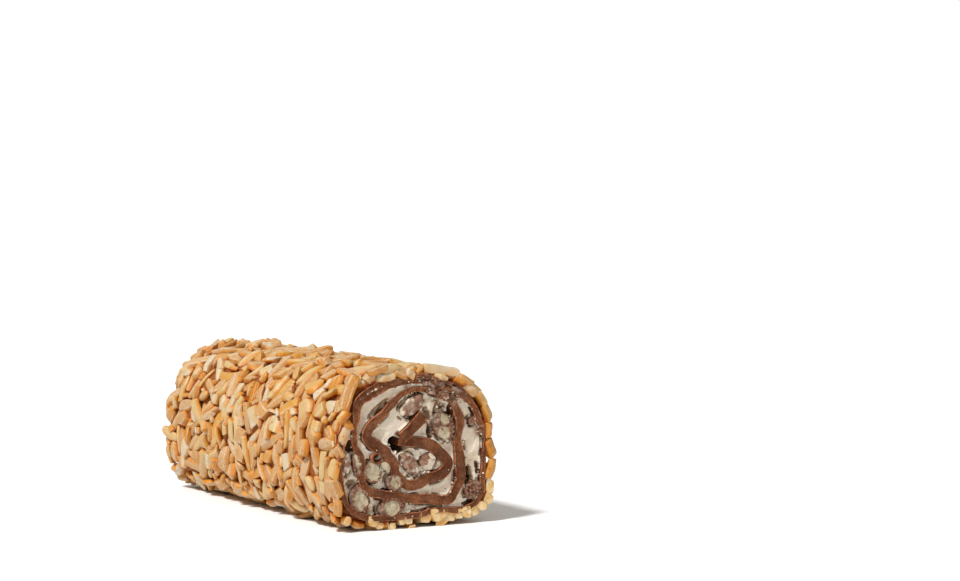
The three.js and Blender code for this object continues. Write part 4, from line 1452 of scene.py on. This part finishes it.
@dataclass
class AlmondCoat:
    """The almonds round the last turn. The solid slivers come first, and smaller pieces fill the gaps."""

    section: Section
    bed: Bed
    solid_count: int = 220
    longest: float = 17.5
    shortest: float = 8.0
    widths: tuple[float, float] = (3.5, 5.6)
    thicknesses: tuple[float, float] = (2.1, 2.8)
    bottom_thickness: float = 3.1
    sink: float = 0.6
    spacing: float = 0.96
    tilt: float = 0.1
    disc_spacing: float = 1.6
    most_sag: float = 0.8
    end_margin: float = 2.0
    seed: int = 20260
    around_bias: float = 2.0
    narrower: float = 0.9
    cell: float = 0.5
    tries_each: int = 24
    most_height: float = 3.5
    highest: float = 49.4
    gap_shade_depth: float = 1.4
    rim_step: float = 0.45
    rim_proud: float = 1.9
    rim_overhang: float = 0.7
    rim_roll: float = 0.15
    rim_roll_spread: float = 0.28
    rim_large: tuple[tuple[float, float], tuple[float, float]] = ((5.0, 9.5), (3.2, 4.8))
    rim_small: tuple[tuple[float, float], tuple[float, float]] = ((2.6, 5.2), (2.0, 3.6))
    rim_large_share: float = 0.3
    rim_through_share: float = 0.45
    rim_overlap: float = 0.45
    rim_drop_share: float = 0.8
    sag_share: float = 0.4
    seat_share: float = 1.15
    covered_from: float = 0.3
    rounded_share: float = 0.3
    dark_share: float = 0.03
    dark_tone: float = 1.05
    whole_proud: float = 1.8
    floor_gap: float = 0.02
    rim_shading: tuple[float, float] = (0.15, 0.6)
    split_above: float = 10.5
    split_chance: float = 0.65
    noise: LatticeNoise = field(default_factory=lambda: LatticeNoise(47))
    pieces: list[AlmondPiece] = field(default_factory=list)

    def __post_init__(self) -> None:
        """Measures the bed and clears the map of how high the coat is."""
        self._angles, self._arc = self.bed.arc()
        self._around = int(self._arc[-1] / self.cell)
        self._along = int(self.section.length / self.cell)
        self._heights = np.zeros((self._around, self._along))

    def _angle_at(self, share: float) -> float:
        """The angle that is a share of the way round the bed."""
        return float(np.interp(share * self._arc[-1], self._arc, self._angles))

    def _sag(self, angle: float, y: float, reach_across: float) -> float:
        """How far a straight piece stands off a rounded stretch at its ends."""
        before, after = angle - 0.15, angle + 0.15
        bend = np.linalg.norm(self.bed.directions(after, y)[0] - self.bed.directions(before, y)[0])
        reach = np.linalg.norm(self.bed.point(after, y) - self.bed.point(before, y))
        return float((reach_across / 2) ** 2 * (bend / reach / 2))

    def _footprint(
        self, angle: float, y: float, lean: float, length: float, width: float
    ) -> tuple[Array, Array, Array]:
        """The cells of the height map under a piece, and how far along it each one is."""
        u = np.arange(-length / 2 + 0.25, length / 2, self.cell)
        v = np.arange(-width / 2 + 0.25, width / 2, self.cell)
        u, v = (grid.ravel() for grid in np.meshgrid(u, v))
        arc = np.interp(angle % TURN, self._angles, self._arc)
        s = arc + u * math.cos(lean) - v * math.sin(lean)
        along = y + u * math.sin(lean) + v * math.cos(lean)
        column = np.floor((along + self.section.end) / self.cell).astype(int)
        inside = (column >= 0) & (column < self._along)
        row = np.floor(s / self.cell).astype(int) % self._around
        return row[inside], column[inside], u[inside]

    def _lean(self, drawn: float) -> float:
        """A lean from the way round the roll. Most are small, as most pieces lie round it."""
        swing = drawn * 2 - 1
        return math.copysign(abs(swing) ** self.around_bias, swing) * math.pi / 2

    def _rim_drop(self, angle: float) -> float:
        """How far the sheet at a cut lies inside the almonds' bed."""
        last = self.section.last_turn_start
        line, thickness = self.section.sheet(np.array([(-angle / TURN - last) % 1.0 + last]))
        outer = float(np.linalg.norm(line[0]) + thickness[0] / 2)
        from_centre = self.bed.point(angle, self.section.end)[[0, 2]] - (0, self.section.centre_height)
        return float(np.linalg.norm(from_centre)) - outer

    def _basis(self, axis: Array, out: Array, pitch: float, roll: float) -> Array:
        """A piece's directions after a small tilt."""
        across = unit(np.cross(axis, out))
        tilt = np.array(Matrix.Rotation(pitch, 3, "X") @ Matrix.Rotation(roll, 3, "Y"))
        return np.stack([across, axis, out], axis=1) @ tilt

    def place_solid_slivers(self) -> None:
        """Places the long slivers by the rule of the solid ones, so that both coats agree."""
        stream = NumberStream(self.seed)
        rng = np.random.default_rng(self.seed)
        discs_of, widths_of = [], []
        tries = 0
        while len(self.pieces) < self.solid_count:
            progress = len(self.pieces) / self.solid_count
            angle = -TURN / 4 if tries == 0 else self._angle_at(stream.draw())
            y = 0.0 if tries == 0 else (stream.draw() - 0.5) * (self.section.length - self.end_margin)
            tries += 1
            lean = self._lean(stream.draw())
            length = mix(self.longest, self.shortest, progress**0.8) * mix(0.88, 1.06, stream.draw())
            width = mix(*self.widths, stream.draw() ** 1.6)
            thickness = mix(*self.thicknesses, stream.draw())
            pitch, roll = (stream.draw() - 0.5) * 2 * self.tilt, (stream.draw() - 0.5) * 3 * self.tilt
            sag = self._sag(angle, y, length * math.cos(lean))
            if sag > self.most_sag:
                continue
            around, along, out = self.bed.directions(angle, y)
            axis = around * math.cos(lean) + along * math.sin(lean)
            under = out[2] < -0.6
            thickness = self.bottom_thickness if under else thickness
            centre = self.bed.point(angle, y) + out * (thickness / 2 - self.sink - sag * self.sag_share)
            gaps = math.ceil((length - width) / self.disc_spacing)
            discs = centre + axis * ((np.arange(gaps + 1) / gaps - 0.5) * (length - width * 0.8))[:, None]
            if discs_of:
                others = np.concatenate(discs_of)
                room = (np.concatenate(widths_of) + width) / 2 * self.spacing
                if (np.linalg.norm(others[:, None] - discs[None], axis=-1).min(1) < room).any():
                    continue
            discs_of.append(discs)
            widths_of.append(np.full(len(discs), width))
            pitch, roll = (0.0, 0.0) if under else (pitch, roll)
            basis = self._basis(axis, out, pitch, roll)
            broken = length > self.split_above and rng.random() < self.split_chance
            cut = rng.uniform(0.36, 0.64)
            for start, stop in ((0.0, cut), (cut, 1.0)) if broken else ((0.0, 1.0),):
                middle = centre + basis[:, 1] * length * ((start + stop) / 2 - 0.5)
                kind = AlmondKind.SLAB if broken else AlmondKind.SLIVER
                wide = width * self.narrower * rng.uniform(0.85, 1.08)
                self._keep(kind, middle, basis, length * (stop - start) * 0.98, wide, thickness)
            row, column, _ = self._footprint(angle, y, lean, length, width * self.narrower)
            self._heights[row, column] = thickness - self.sink

    def _keep(
        self, kind: AlmondKind, centre: Array, basis: Array, length: float, width: float, thickness: float
    ) -> None:
        """Adds a piece to the coat."""
        self.pieces.append(AlmondPiece(kind, centre, basis, length, width, thickness))

    def place_rim_almonds(self) -> None:
        """Places the pieces that show clearly at the near cut, and marks their stretch of the bed."""
        rng = np.random.default_rng(self.seed)
        for rim in RIM_ALMONDS:
            angle = math.atan2(rim.z, rim.x)
            lean = math.pi / 2 if rim.through else 0.0
            into = rim.length / 2 - self.rim_proud if rim.through else rim.width / 2 - self.rim_overhang
            around, along, out = self.bed.directions(angle, -self.section.end)
            axis = around * math.cos(lean) + along * math.sin(lean)
            centre = np.array([rim.x, into - self.section.end, rim.z + self.section.centre_height])
            roll = 0.0 if rim.through else rng.normal(self.rim_roll, self.rim_roll_spread)
            basis = self._basis(axis, out, math.radians(rim.tilt), roll)
            sizes = (rim.length, rim.width, rim.thickness)
            piece = AlmondPiece(AlmondKind.SLAB, centre, basis, *sizes, rim.tone, not rim.through)
            self.pieces.append(piece)
            place = (angle, into - self.section.end, lean)
            row, column, _ = self._footprint(*place, rim.length, rim.width)
            self._heights[row, column] = rim.thickness

    def fill_rims(self) -> None:
        """Sets pieces along both cut ends. The knife went through those that lie along the roll."""
        rng = np.random.default_rng(self.seed)
        for side in (-1, 1):
            reach = 0.0
            while reach < self._arc[-1]:
                angle = self._angle_at(reach / self._arc[-1])
                spans = self.rim_large if rng.random() < self.rim_large_share else self.rim_small
                length, width = (rng.uniform(*span) for span in spans)
                through = rng.random() < self.rim_through_share
                lean = (math.pi / 2 if through else 0.0) + rng.normal(0, 0.22)
                if through:
                    inside = length / 2 - rng.uniform(0.2, 2.0)
                else:
                    inside = width / 2 + rng.uniform(-0.3, 1.0)
                place = (angle, side * (self.section.end - inside), lean)
                drop = max(0.0, self._rim_drop(angle)) * self.rim_drop_share
                sizes = (length, width, rng.uniform(1.9, 3.0))
                if self._try(AlmondKind.DICE, place, sizes, self.rim_overlap, rng, drop):
                    reach += width * self.rim_step
                reach += self.rim_step

    def _try(
        self,
        kind: AlmondKind,
        place: tuple[float, float, float],
        sizes: tuple[float, float, float],
        overlap: float,
        rng: np.random.Generator,
        drop: float = 0.0,
    ) -> bool:
        """Keeps a piece if there is room for it.

        Args:
            kind: Its kind.
            place: Its angle round the roll, its y, and its lean from the way round.
            sizes: Its length, width and thickness.
            overlap: The share of it that may lie on others.
            rng: Gives it a tilt of its own.
            drop: How far it sinks below the bed.

        Returns:
            Whether it was kept.
        """
        (angle, y, lean), (length, width, thickness) = place, sizes
        row, column, u = self._footprint(angle, y, lean, length, width)
        under = self._heights[row, column]
        tumble = ALMOND_SIZES[kind].tumble
        base = float(under.mean()) * self.seat_share
        covered = (under > self.covered_from).mean()
        if covered > overlap or base + thickness > self.most_height + self.sink:
            return False
        sag = self._sag(angle, y, length * math.cos(lean))
        if sag > self.most_sag:
            return False
        front, back = under[u > length / 6], under[u < -length / 6]
        slope = (front.mean() - back.mean()) / (length * 0.6) if len(front) and len(back) else 0.0
        around, along, out = self.bed.directions(angle, y)
        axis = around * math.cos(lean) + along * math.sin(lean)
        pitch = float(np.clip(slope, -0.3, 0.3)) + rng.normal(0, tumble / 2)
        lift = base + thickness / 2 - self.sink - sag * self.sag_share - drop
        centre = self.bed.point(angle, y) + out * lift
        basis = self._basis(axis, out, pitch, rng.normal(0, tumble))
        self._keep(kind, centre, basis, length, width, thickness)
        self._heights[row, column] = np.maximum(under, base + thickness - self.sink)
        return True

    def fill_gaps(self, kind: AlmondKind) -> None:
        """Scatters pieces of one kind where there is room. A piece on top of another tilts with it."""
        size = ALMOND_SIZES[kind]
        rng = np.random.default_rng(self.seed + list(AlmondKind).index(kind))
        kept = 0
        for _ in range(size.count * self.tries_each):
            if kept >= size.count:
                break
            length, width = mix(*size.length[::-1], rng.random() ** 1.3), mix(*size.width, rng.random())
            y = (rng.random() - 0.5) * (self.section.length - 1)
            place = (self._angle_at(rng.random()), y, self._lean(rng.random()))
            sizes = (length, width, mix(*size.thickness, rng.random()))
            kept += self._try(kind, place, sizes, size.overlap, rng)

    def covered_share(self) -> float:
        """How much of the bed has almonds on it."""
        return float((self._heights > self.covered_from).mean())

    def _outline(self, places: Array, tapered: bool, rng: np.random.Generator) -> Array:
        """How wide one side of a piece is at each section, as a share of its width."""
        if tapered:
            tip, power = rng.uniform(0.35, 0.65, 2), rng.uniform(1.5, 2.8, 2)
            narrowing = np.abs(places * 2) ** np.where(places < 0, *power)
            reach = 1 - (1 - np.where(places < 0, *tip)) * narrowing
        else:
            reach = np.interp(places, (-0.5, -0.2, 0.2, 0.5), rng.uniform((0.5, 0.82, 0.82, 0.5), 1.08))
        return reach * (1 + 0.05 * np.sin(places * rng.uniform(6, 12) + rng.uniform(0, TURN)))

    def _section_corners(self, sides: int, rounded: bool, rng: np.random.Generator) -> Array:
        """A piece's section: flat chopped faces with narrow bevels, or a rounded outer side.

        Args:
            sides: How many corners it has, two for each bevel.
            rounded: Whether the top is a part of the almond's rounded outside.
            rng: Makes each section different.

        Returns:
            The corners, counter-clockwise, with x and z from -1 to 1.
        """
        near, far = rng.uniform(0.35, 0.6, 2) if rounded else rng.uniform((0.0, 0.45), (0.9, 0.95))
        high = rng.uniform(0.85, 1.0, 2)
        top = [(near, high[0]), (-far, high[1])]
        bottom = [(-rng.uniform(0.7, 1.0), -1.0), (rng.uniform(0.7, 1.0), -1.0)]
        if rng.random() < 0.5:
            top = [(far, high[0]), (-near, high[1])]
        least, most = (0.1, 0.5) if rounded else (-0.5, 0.55)
        shoulders = rng.uniform((least, least), (most, most))
        corners = np.array([*top, *bottom])
        if sides == 12:
            corners = np.array([(1.0, shoulders[0]), *top, (-1.0, shoulders[1]), *bottom])
        bevel = 0.3 if rounded else rng.uniform(0.09, 0.17)
        before = corners + (np.roll(corners, 1, axis=0) - corners) * bevel
        after = corners + (np.roll(corners, -1, axis=0) - corners) * bevel
        return np.stack([before, after], axis=1).reshape(-1, 2)

    def _piece_mesh(self, piece: AlmondPiece, rng: np.random.Generator) -> MeshData:
        """One piece: a chopped bar, either tapered or blunt, and either chiselled or rounded outside."""
        size = ALMOND_SIZES[piece.kind]
        tapered, rounded = rng.random() < size.tapered, rng.random() < self.rounded_share
        if piece.tone is not None:
            tapered, rounded = False, piece.whole and rounded
        corner_x, corner_z = self._section_corners(size.sides, rounded, rng).T
        places = np.sin(np.linspace(-1, 1, size.stations) * math.pi / 2) / 2
        tip = (0.40, 0.72, 0.92) if tapered else (0.84, 0.96, 1.0)
        rounding = np.interp(np.abs(places), (0.36, 0.44, 0.485, 0.5), (1.0, *tip[::-1]))
        right, left = (self._outline(places, tapered, rng) * rounding for _ in range(2))
        reach = np.where(corner_x[None, :] > 0, right[:, None], left[:, None])
        x = (corner_x + rng.uniform(-0.2, 0.2) * corner_z)[None, :] * reach * piece.width / 2
        thinner = rounding * (1 - (0.35 if tapered else 0.08) * np.abs(places * 2) ** 2.2)
        z = corner_z[None, :] * thinner[:, None] * piece.thickness / 2
        z = z + rng.uniform(-0.14, 0.14) * x + rng.uniform(-0.07, 0.07) * places[:, None] * piece.length
        toward_end = (places**2 * 4)[:, None]
        slant = np.where(places < 0, *rng.uniform(-0.45, 0.45, 2))[:, None]
        y = places[:, None] * piece.length + slant * x * toward_end
        y = y + np.where(places < 0, *rng.uniform(-0.4, 0.4, 2))[:, None] * z * toward_end
        bow = piece.length * (1 - (places * 2) ** 2)[:, None]
        x, z = x + rng.normal(0, 0.045) * bow, z + rng.normal(0.012, 0.018) * bow
        local = np.stack([x, y, z], -1).reshape(-1, 3)
        space = local + rng.uniform(-300, 300, 3)
        for axis in range(3):
            local[:, axis] += 0.15 * self.noise.octaves(space + 60.0 * axis, 2.6, 2)
        vertices = piece.centre + local @ piece.basis.T
        quads = ring_quads(size.stations, size.sides)
        bevels = np.arange(size.sides) % 2 == 0
        # Painted highlight on the upper bevels of chiselled pieces.
        painted_highlight_mask = np.tile(bevels & (corner_z > -0.6) & (not rounded), size.stations - 1)
        caps = []
        for ring in (np.arange(size.sides)[::-1], (size.stations - 1) * size.sides + np.arange(size.sides)):
            caps += [ring[[i, i + 1, -2 - i, -1 - i]] for i in range(size.sides // 2 - 1)]
        quads = np.vstack([quads, caps])
        end = self.section.end + rng.uniform(-0.2, 0.15) + 0.18 * self.noise.at(vertices * (1, 0, 1), 1.4)
        end = end + (self.whole_proud if piece.whole else 0.0)
        beyond = np.abs(vertices[:, 1]) > end - 0.05
        vertices[:, 1] = np.clip(vertices[:, 1], -end, end)
        vertices[:, 2] = np.clip(vertices[:, 2], self.floor_gap, self.highest)
        above = vertices[:, 2] - self.section.centre_height
        angle = np.arctan2(above, vertices[:, 0])
        bed = self.section.radius(angle) + self.bed.swell_at(angle, vertices[:, 1])
        # Painted shade in the gaps: how far a vertex lies below the bed.
        painted_gap_shade = rise(self.gap_shade_depth - np.hypot(vertices[:, 0], above) + bed, 0.0, self.gap_shade_depth)
        along, rows = np.repeat(places, size.sides), size.stations
        least, more = self.rim_shading
        painted_shade_share = 1.0 if piece.tone is None else least + more * piece.tone
        # The sides below a piece's top take the golden colour, partly as toasted sides and partly as painted
        # shade.
        skins = rng.uniform((0.6, 0.6), (1.15, 1.15)) * painted_shade_share
        tone = rng.beta(1.7, 2.2) if rng.random() > self.dark_share else self.dark_tone
        tone = tone if piece.tone is None else piece.tone
        toasted_flank_and_shade = np.where(corner_x > 0, *skins) * rise(0.85 - corner_z, 0.0, 0.7)
        points = {
            "piece_space": space,
            "toast": np.maximum(0.0, tone + rng.uniform(-0.25, 0.25) * along),
            "matt": np.full(len(space), rng.uniform(0.0, 0.35) if rounded else rng.uniform(0.1, 1.0)),
            "side": np.tile(toasted_flank_and_shade, rows),
            # low: painted shade on each piece's lower side and down in the gaps, weaker on the rim pieces.
            "low": clamp01(np.tile(clamp01(0.5 - corner_z) * 0.55, rows) + 0.8 * painted_gap_shade) * painted_shade_share,
        }
        faces = {
            "cut": beyond[quads].all(axis=1) * rng.uniform(0.6, 1.0),
            "edge": np.append(painted_highlight_mask * rng.uniform(0.3, 1.0), np.zeros(len(caps))),
        }
        return MeshData(vertices, quads, point_values=points, face_values=faces).facing_out()

    def meshes(self) -> dict[AlmondKind, MeshData]:
        """All pieces of each kind as one mesh."""
        rng = np.random.default_rng(self.seed)
        parts: dict[AlmondKind, list[MeshData]] = {kind: [] for kind in AlmondKind}
        for piece in self.pieces:
            parts[piece.kind].append(self._piece_mesh(piece, rng))
        return {kind: joined(group) for kind, group in parts.items()}


@dataclass(frozen=True)
class CrumbCluster:
    """A place on the cut where crumbs gather.

    Attributes:
        x: Its middle on the section.
        z: Its middle on the section.
        spread: How far most of them lie from it.
        count: How many there are.
    """

    x: float
    z: float
    spread: float
    count: int


CRUMB_CLUSTERS = (
    CrumbCluster(12.6, 16.2, 1.9, 90),
    CrumbCluster(6.0, 18.6, 2.2, 40),
    CrumbCluster(7.6, 13.8, 0.9, 26),
    CrumbCluster(4.6, 8.4, 0.8, 20),
    CrumbCluster(20.2, -13.4, 2.0, 40),
    CrumbCluster(10.2, 6.2, 2.8, 36),
    CrumbCluster(-16.0, 19.0, 2.4, 24),
    CrumbCluster(22.6, 4.0, 1.4, 24),
)


@dataclass
class Crumbs:
    """Brown and white crumbs at both cuts: along the turns, and in a few clusters."""

    section: Section
    along_turns: int = 380
    sizes: tuple[float, float] = (0.10, 0.42)
    cluster_sizes: tuple[float, float] = (0.16, 0.55)

    def _ball(self) -> tuple[Array, Array]:
        """The corners and faces of an icosahedron."""
        golden = (1 + math.sqrt(5)) / 2
        corners = [(0, a, b * golden) for a in (-1, 1) for b in (-1, 1)]
        ball = unit(np.array([np.roll(corner, shift) for corner in corners for shift in range(3)], float))
        gaps = np.linalg.norm(ball[:, None] - ball[None], axis=-1)
        near = (gaps > 0) & (gaps < 1.1)
        order = [f for f in np.ndindex(12, 12, 12) if f[0] < min(f[1:])]
        faces = np.array([(a, b, c) for a, b, c in order if near[a, b] and near[b, c] and near[a, c]])
        out = np.einsum("ij,ij->i", ball[faces[:, 0]], np.cross(ball[faces[:, 1]], ball[faces[:, 2]])) > 0
        return ball, faces[out]

    def build(self, seed: int, turn_range: tuple[float, float], cluster_share: float) -> MeshData:
        """Crumbs of one colour.

        Args:
            seed: Sets their places.
            turn_range: The stretch of the sheet that they lie along.
            cluster_share: How many of the clusters' crumbs have this colour.

        Returns:
            One mesh of small lumps.
        """
        rng = np.random.default_rng(seed)
        places, radii = [], []
        for _ in range(self.along_turns):
            line, thickness = self.section.sheet(np.array([rng.uniform(*turn_range)]))
            out = unit(line[0])
            places.append(line[0] + out * rng.choice([-1, 1]) * (thickness[0] / 2 + rng.exponential(0.5)))
            radii.append(mix(*self.sizes, rng.random() ** 2.2))
        for cluster in CRUMB_CLUSTERS:
            for _ in range(int(2 * cluster.count * cluster_share)):
                places.append(np.array([cluster.x, cluster.z]) + rng.normal(0, cluster.spread / 1.6, 2))
                radii.append(mix(*self.cluster_sizes, rng.random() ** 1.8))
        ball, faces = self._ball()
        parts = []
        for i, ((x, z), radius) in enumerate(zip(places, radii)):
            y = (-1 if i % 2 else 1) * (self.section.end + rng.uniform(-0.35, 0.1))
            within = min(1.0, 0.95 * float(self.section.radius(np.arctan2(z, x))) / math.hypot(x, z))
            middle = np.array([x * within, y, z * within + self.section.centre_height])
            shape = ball * rng.uniform(0.6, 1.35, (12, 1)) * rng.uniform(0.6, 1.3, 3) * radius
            parts.append(MeshData(middle + shape, triangles=faces))
        return joined(parts)


@dataclass(frozen=True)
class Lamp:
    """A distant lamp.

    Attributes:
        name: Its name.
        source: Where it shines from: how far right, up and towards the camera.
        strength: How strong it is.
        spread_degrees: How wide it looks, which softens its shadows.
    """

    name: str
    source: tuple[float, float, float]
    strength: float
    spread_degrees: float


@dataclass
class Studio:
    """A pale floor, soft light and the camera."""

    image_size: tuple[int, int] = (960, 581)
    focal_pixels: float = 2800.0
    sensor_mm: float = 36.0
    camera_place: tuple[float, float, float] = (-391.6, -785.2, 120.1)
    heading_degrees: float = 29.74
    pitch_degrees: float = 3.45
    surroundings: float = 0.23
    floor_reach: float = 8.0
    lamps: tuple[Lamp, ...] = (
        Lamp("key", (-0.4, 0.82, 0.47), 3.75, 10.0),
        Lamp("fill", (0.45, 0.3, 0.9), 0.5, 70.0),
        Lamp("back", (-0.1, 0.8, -0.6), 0.55, 60.0),
    )

    def build_camera(self) -> None:
        """The camera, level, looking along its heading and a little down."""
        lens = bpy.data.cameras.new("camera")
        lens.sensor_width = self.sensor_mm
        lens.lens = self.focal_pixels / self.image_size[0] * self.sensor_mm
        lens.clip_end = 50.0
        camera = bpy.data.objects.new("camera", lens)
        camera.location = Vector(self.camera_place) * MM
        down = math.radians(90 - self.pitch_degrees)
        camera.rotation_euler = (down, 0.0, -math.radians(self.heading_degrees))
        bpy.context.scene.collection.objects.link(camera)
        bpy.context.scene.camera = camera

    def build_floor(self) -> None:
        """A wide white floor."""
        reach = self.floor_reach
        corners = [(-reach, -reach, 0), (reach, -reach, 0), (reach, reach, 0), (-reach, reach, 0)]
        mesh = bpy.data.meshes.new("floor")
        mesh.from_pydata(corners, [], [(0, 1, 2, 3)])
        material, wiring, shader = new_material("white_floor")
        wiring.fill(shader, Base_Color=(0.93, 0.93, 0.93, 1), Roughness=0.6)
        mesh.materials.append(material)
        floor = bpy.data.objects.new("floor", mesh)
        bpy.context.scene.collection.objects.link(floor)

    def build_light(self) -> None:
        """White surroundings, a soft key light, a weak fill and a weak light from behind."""
        world = bpy.data.worlds.new("surroundings")
        world.use_nodes = True
        wiring = Wiring(world.node_tree)
        background = world.node_tree.nodes["Background"]
        wiring.fill(background, Color=(1.0, 0.95, 0.86, 1), Strength=self.surroundings)
        backdrop = wiring.add("Background", Color=(1.0, 1.0, 1.0, 1), Strength=1.0)
        seen = wiring.add("LightPath").outputs["Is Camera Ray"]
        both = wiring.add("MixShader", Fac=seen)
        wiring.feed(both.inputs[1], background.outputs["Background"])
        wiring.feed(both.inputs[2], backdrop.outputs["Background"])
        wiring.feed(world.node_tree.nodes["World Output"].inputs["Surface"], both.outputs["Shader"])
        bpy.context.scene.world = world
        heading = math.radians(self.heading_degrees)
        ahead = Vector((math.sin(heading), math.cos(heading), 0))
        right = Vector((math.cos(heading), -math.sin(heading), 0))
        up = Vector((0, 0, 1))
        for lamp in self.lamps:
            toward = right * lamp.source[0] + up * lamp.source[1] - ahead * lamp.source[2]
            sun = bpy.data.lights.new(lamp.name, "SUN")
            sun.angle = math.radians(lamp.spread_degrees)
            sun.energy = lamp.strength
            light = bpy.data.objects.new(lamp.name, sun)
            light.rotation_euler = toward.to_track_quat("Z", "Y").to_euler()
            bpy.context.scene.collection.objects.link(light)
        bpy.context.scene.view_settings.view_transform = "Standard"


def finish_piece(piece: bpy.types.Object, slot: str, *nodes: str) -> None:
    """Lets a piece ride on the body and stand for its nodes."""
    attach(piece, "root")
    if nodes:
        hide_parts(*nodes)
    log.info("%s: %d faces", piece.name, len(piece.data.polygons))


def main() -> None:
    """Builds the roll piece by piece, then the studio."""
    logging.basicConfig(level=logging.INFO, format="%(message)s")
    section = Section()
    bed = Bed(section)
    effects = SharedEffects.build()
    chocolate = ChocolateFinish(effects).build()
    sheet = RolledSheet(section, bed)
    finish_piece(sheet.build().to_object("rolled_sheet", chocolate, 40), "toasted_almond", "coated_sheet")
    filling, cream = CreamFilling(section, sheet).build(), CreamFinish(effects).build()
    finish_piece(filling.to_object("cream_filling", cream, 60), "white_cream", "white_cream")
    nut_finish = NutFinish(effects).build()
    for name, mesh in CoatedNuts(section).pieces():
        finish_piece(mesh.to_object(f"{name}_cut", nut_finish, 50), "coated_nut", name)
    coat = AlmondCoat(section, bed)
    coat.place_solid_slivers()
    coat.place_rim_almonds()
    coat.fill_rims()
    for kind in AlmondKind:
        coat.fill_gaps(kind)
    log.info("almonds: %d pieces, %.1f %% of the bed covered", len(coat.pieces), 100 * coat.covered_share())
    almond = AlmondFinish(effects).build()
    for kind, mesh in coat.meshes().items():
        finish_piece(mesh.to_object(kind.value, almond, 38), "toasted_almond")
    crumbs = Crumbs(section)
    brown = CrumbFinish(effects, "brown_crumbs", (0.15, 0.058, 0.03, 1), (0.38, 0.20, 0.12, 1)).build()
    finish_piece(crumbs.build(5, (0.7, 2.5), 0.8).to_object("brown_crumbs", brown, 60), "coated_nut")
    white = CrumbFinish(effects, "white_crumbs", (0.55, 0.47, 0.34, 1), (0.75, 0.70, 0.58, 1)).build()
    finish_piece(crumbs.build(6, (0.1, 2.4), 0.2).to_object("white_crumbs", white, 60), "white_cream")
    studio = Studio()
    studio.build_camera()
    studio.build_floor()
    studio.build_light()


if __name__ == "__main__":
    main()
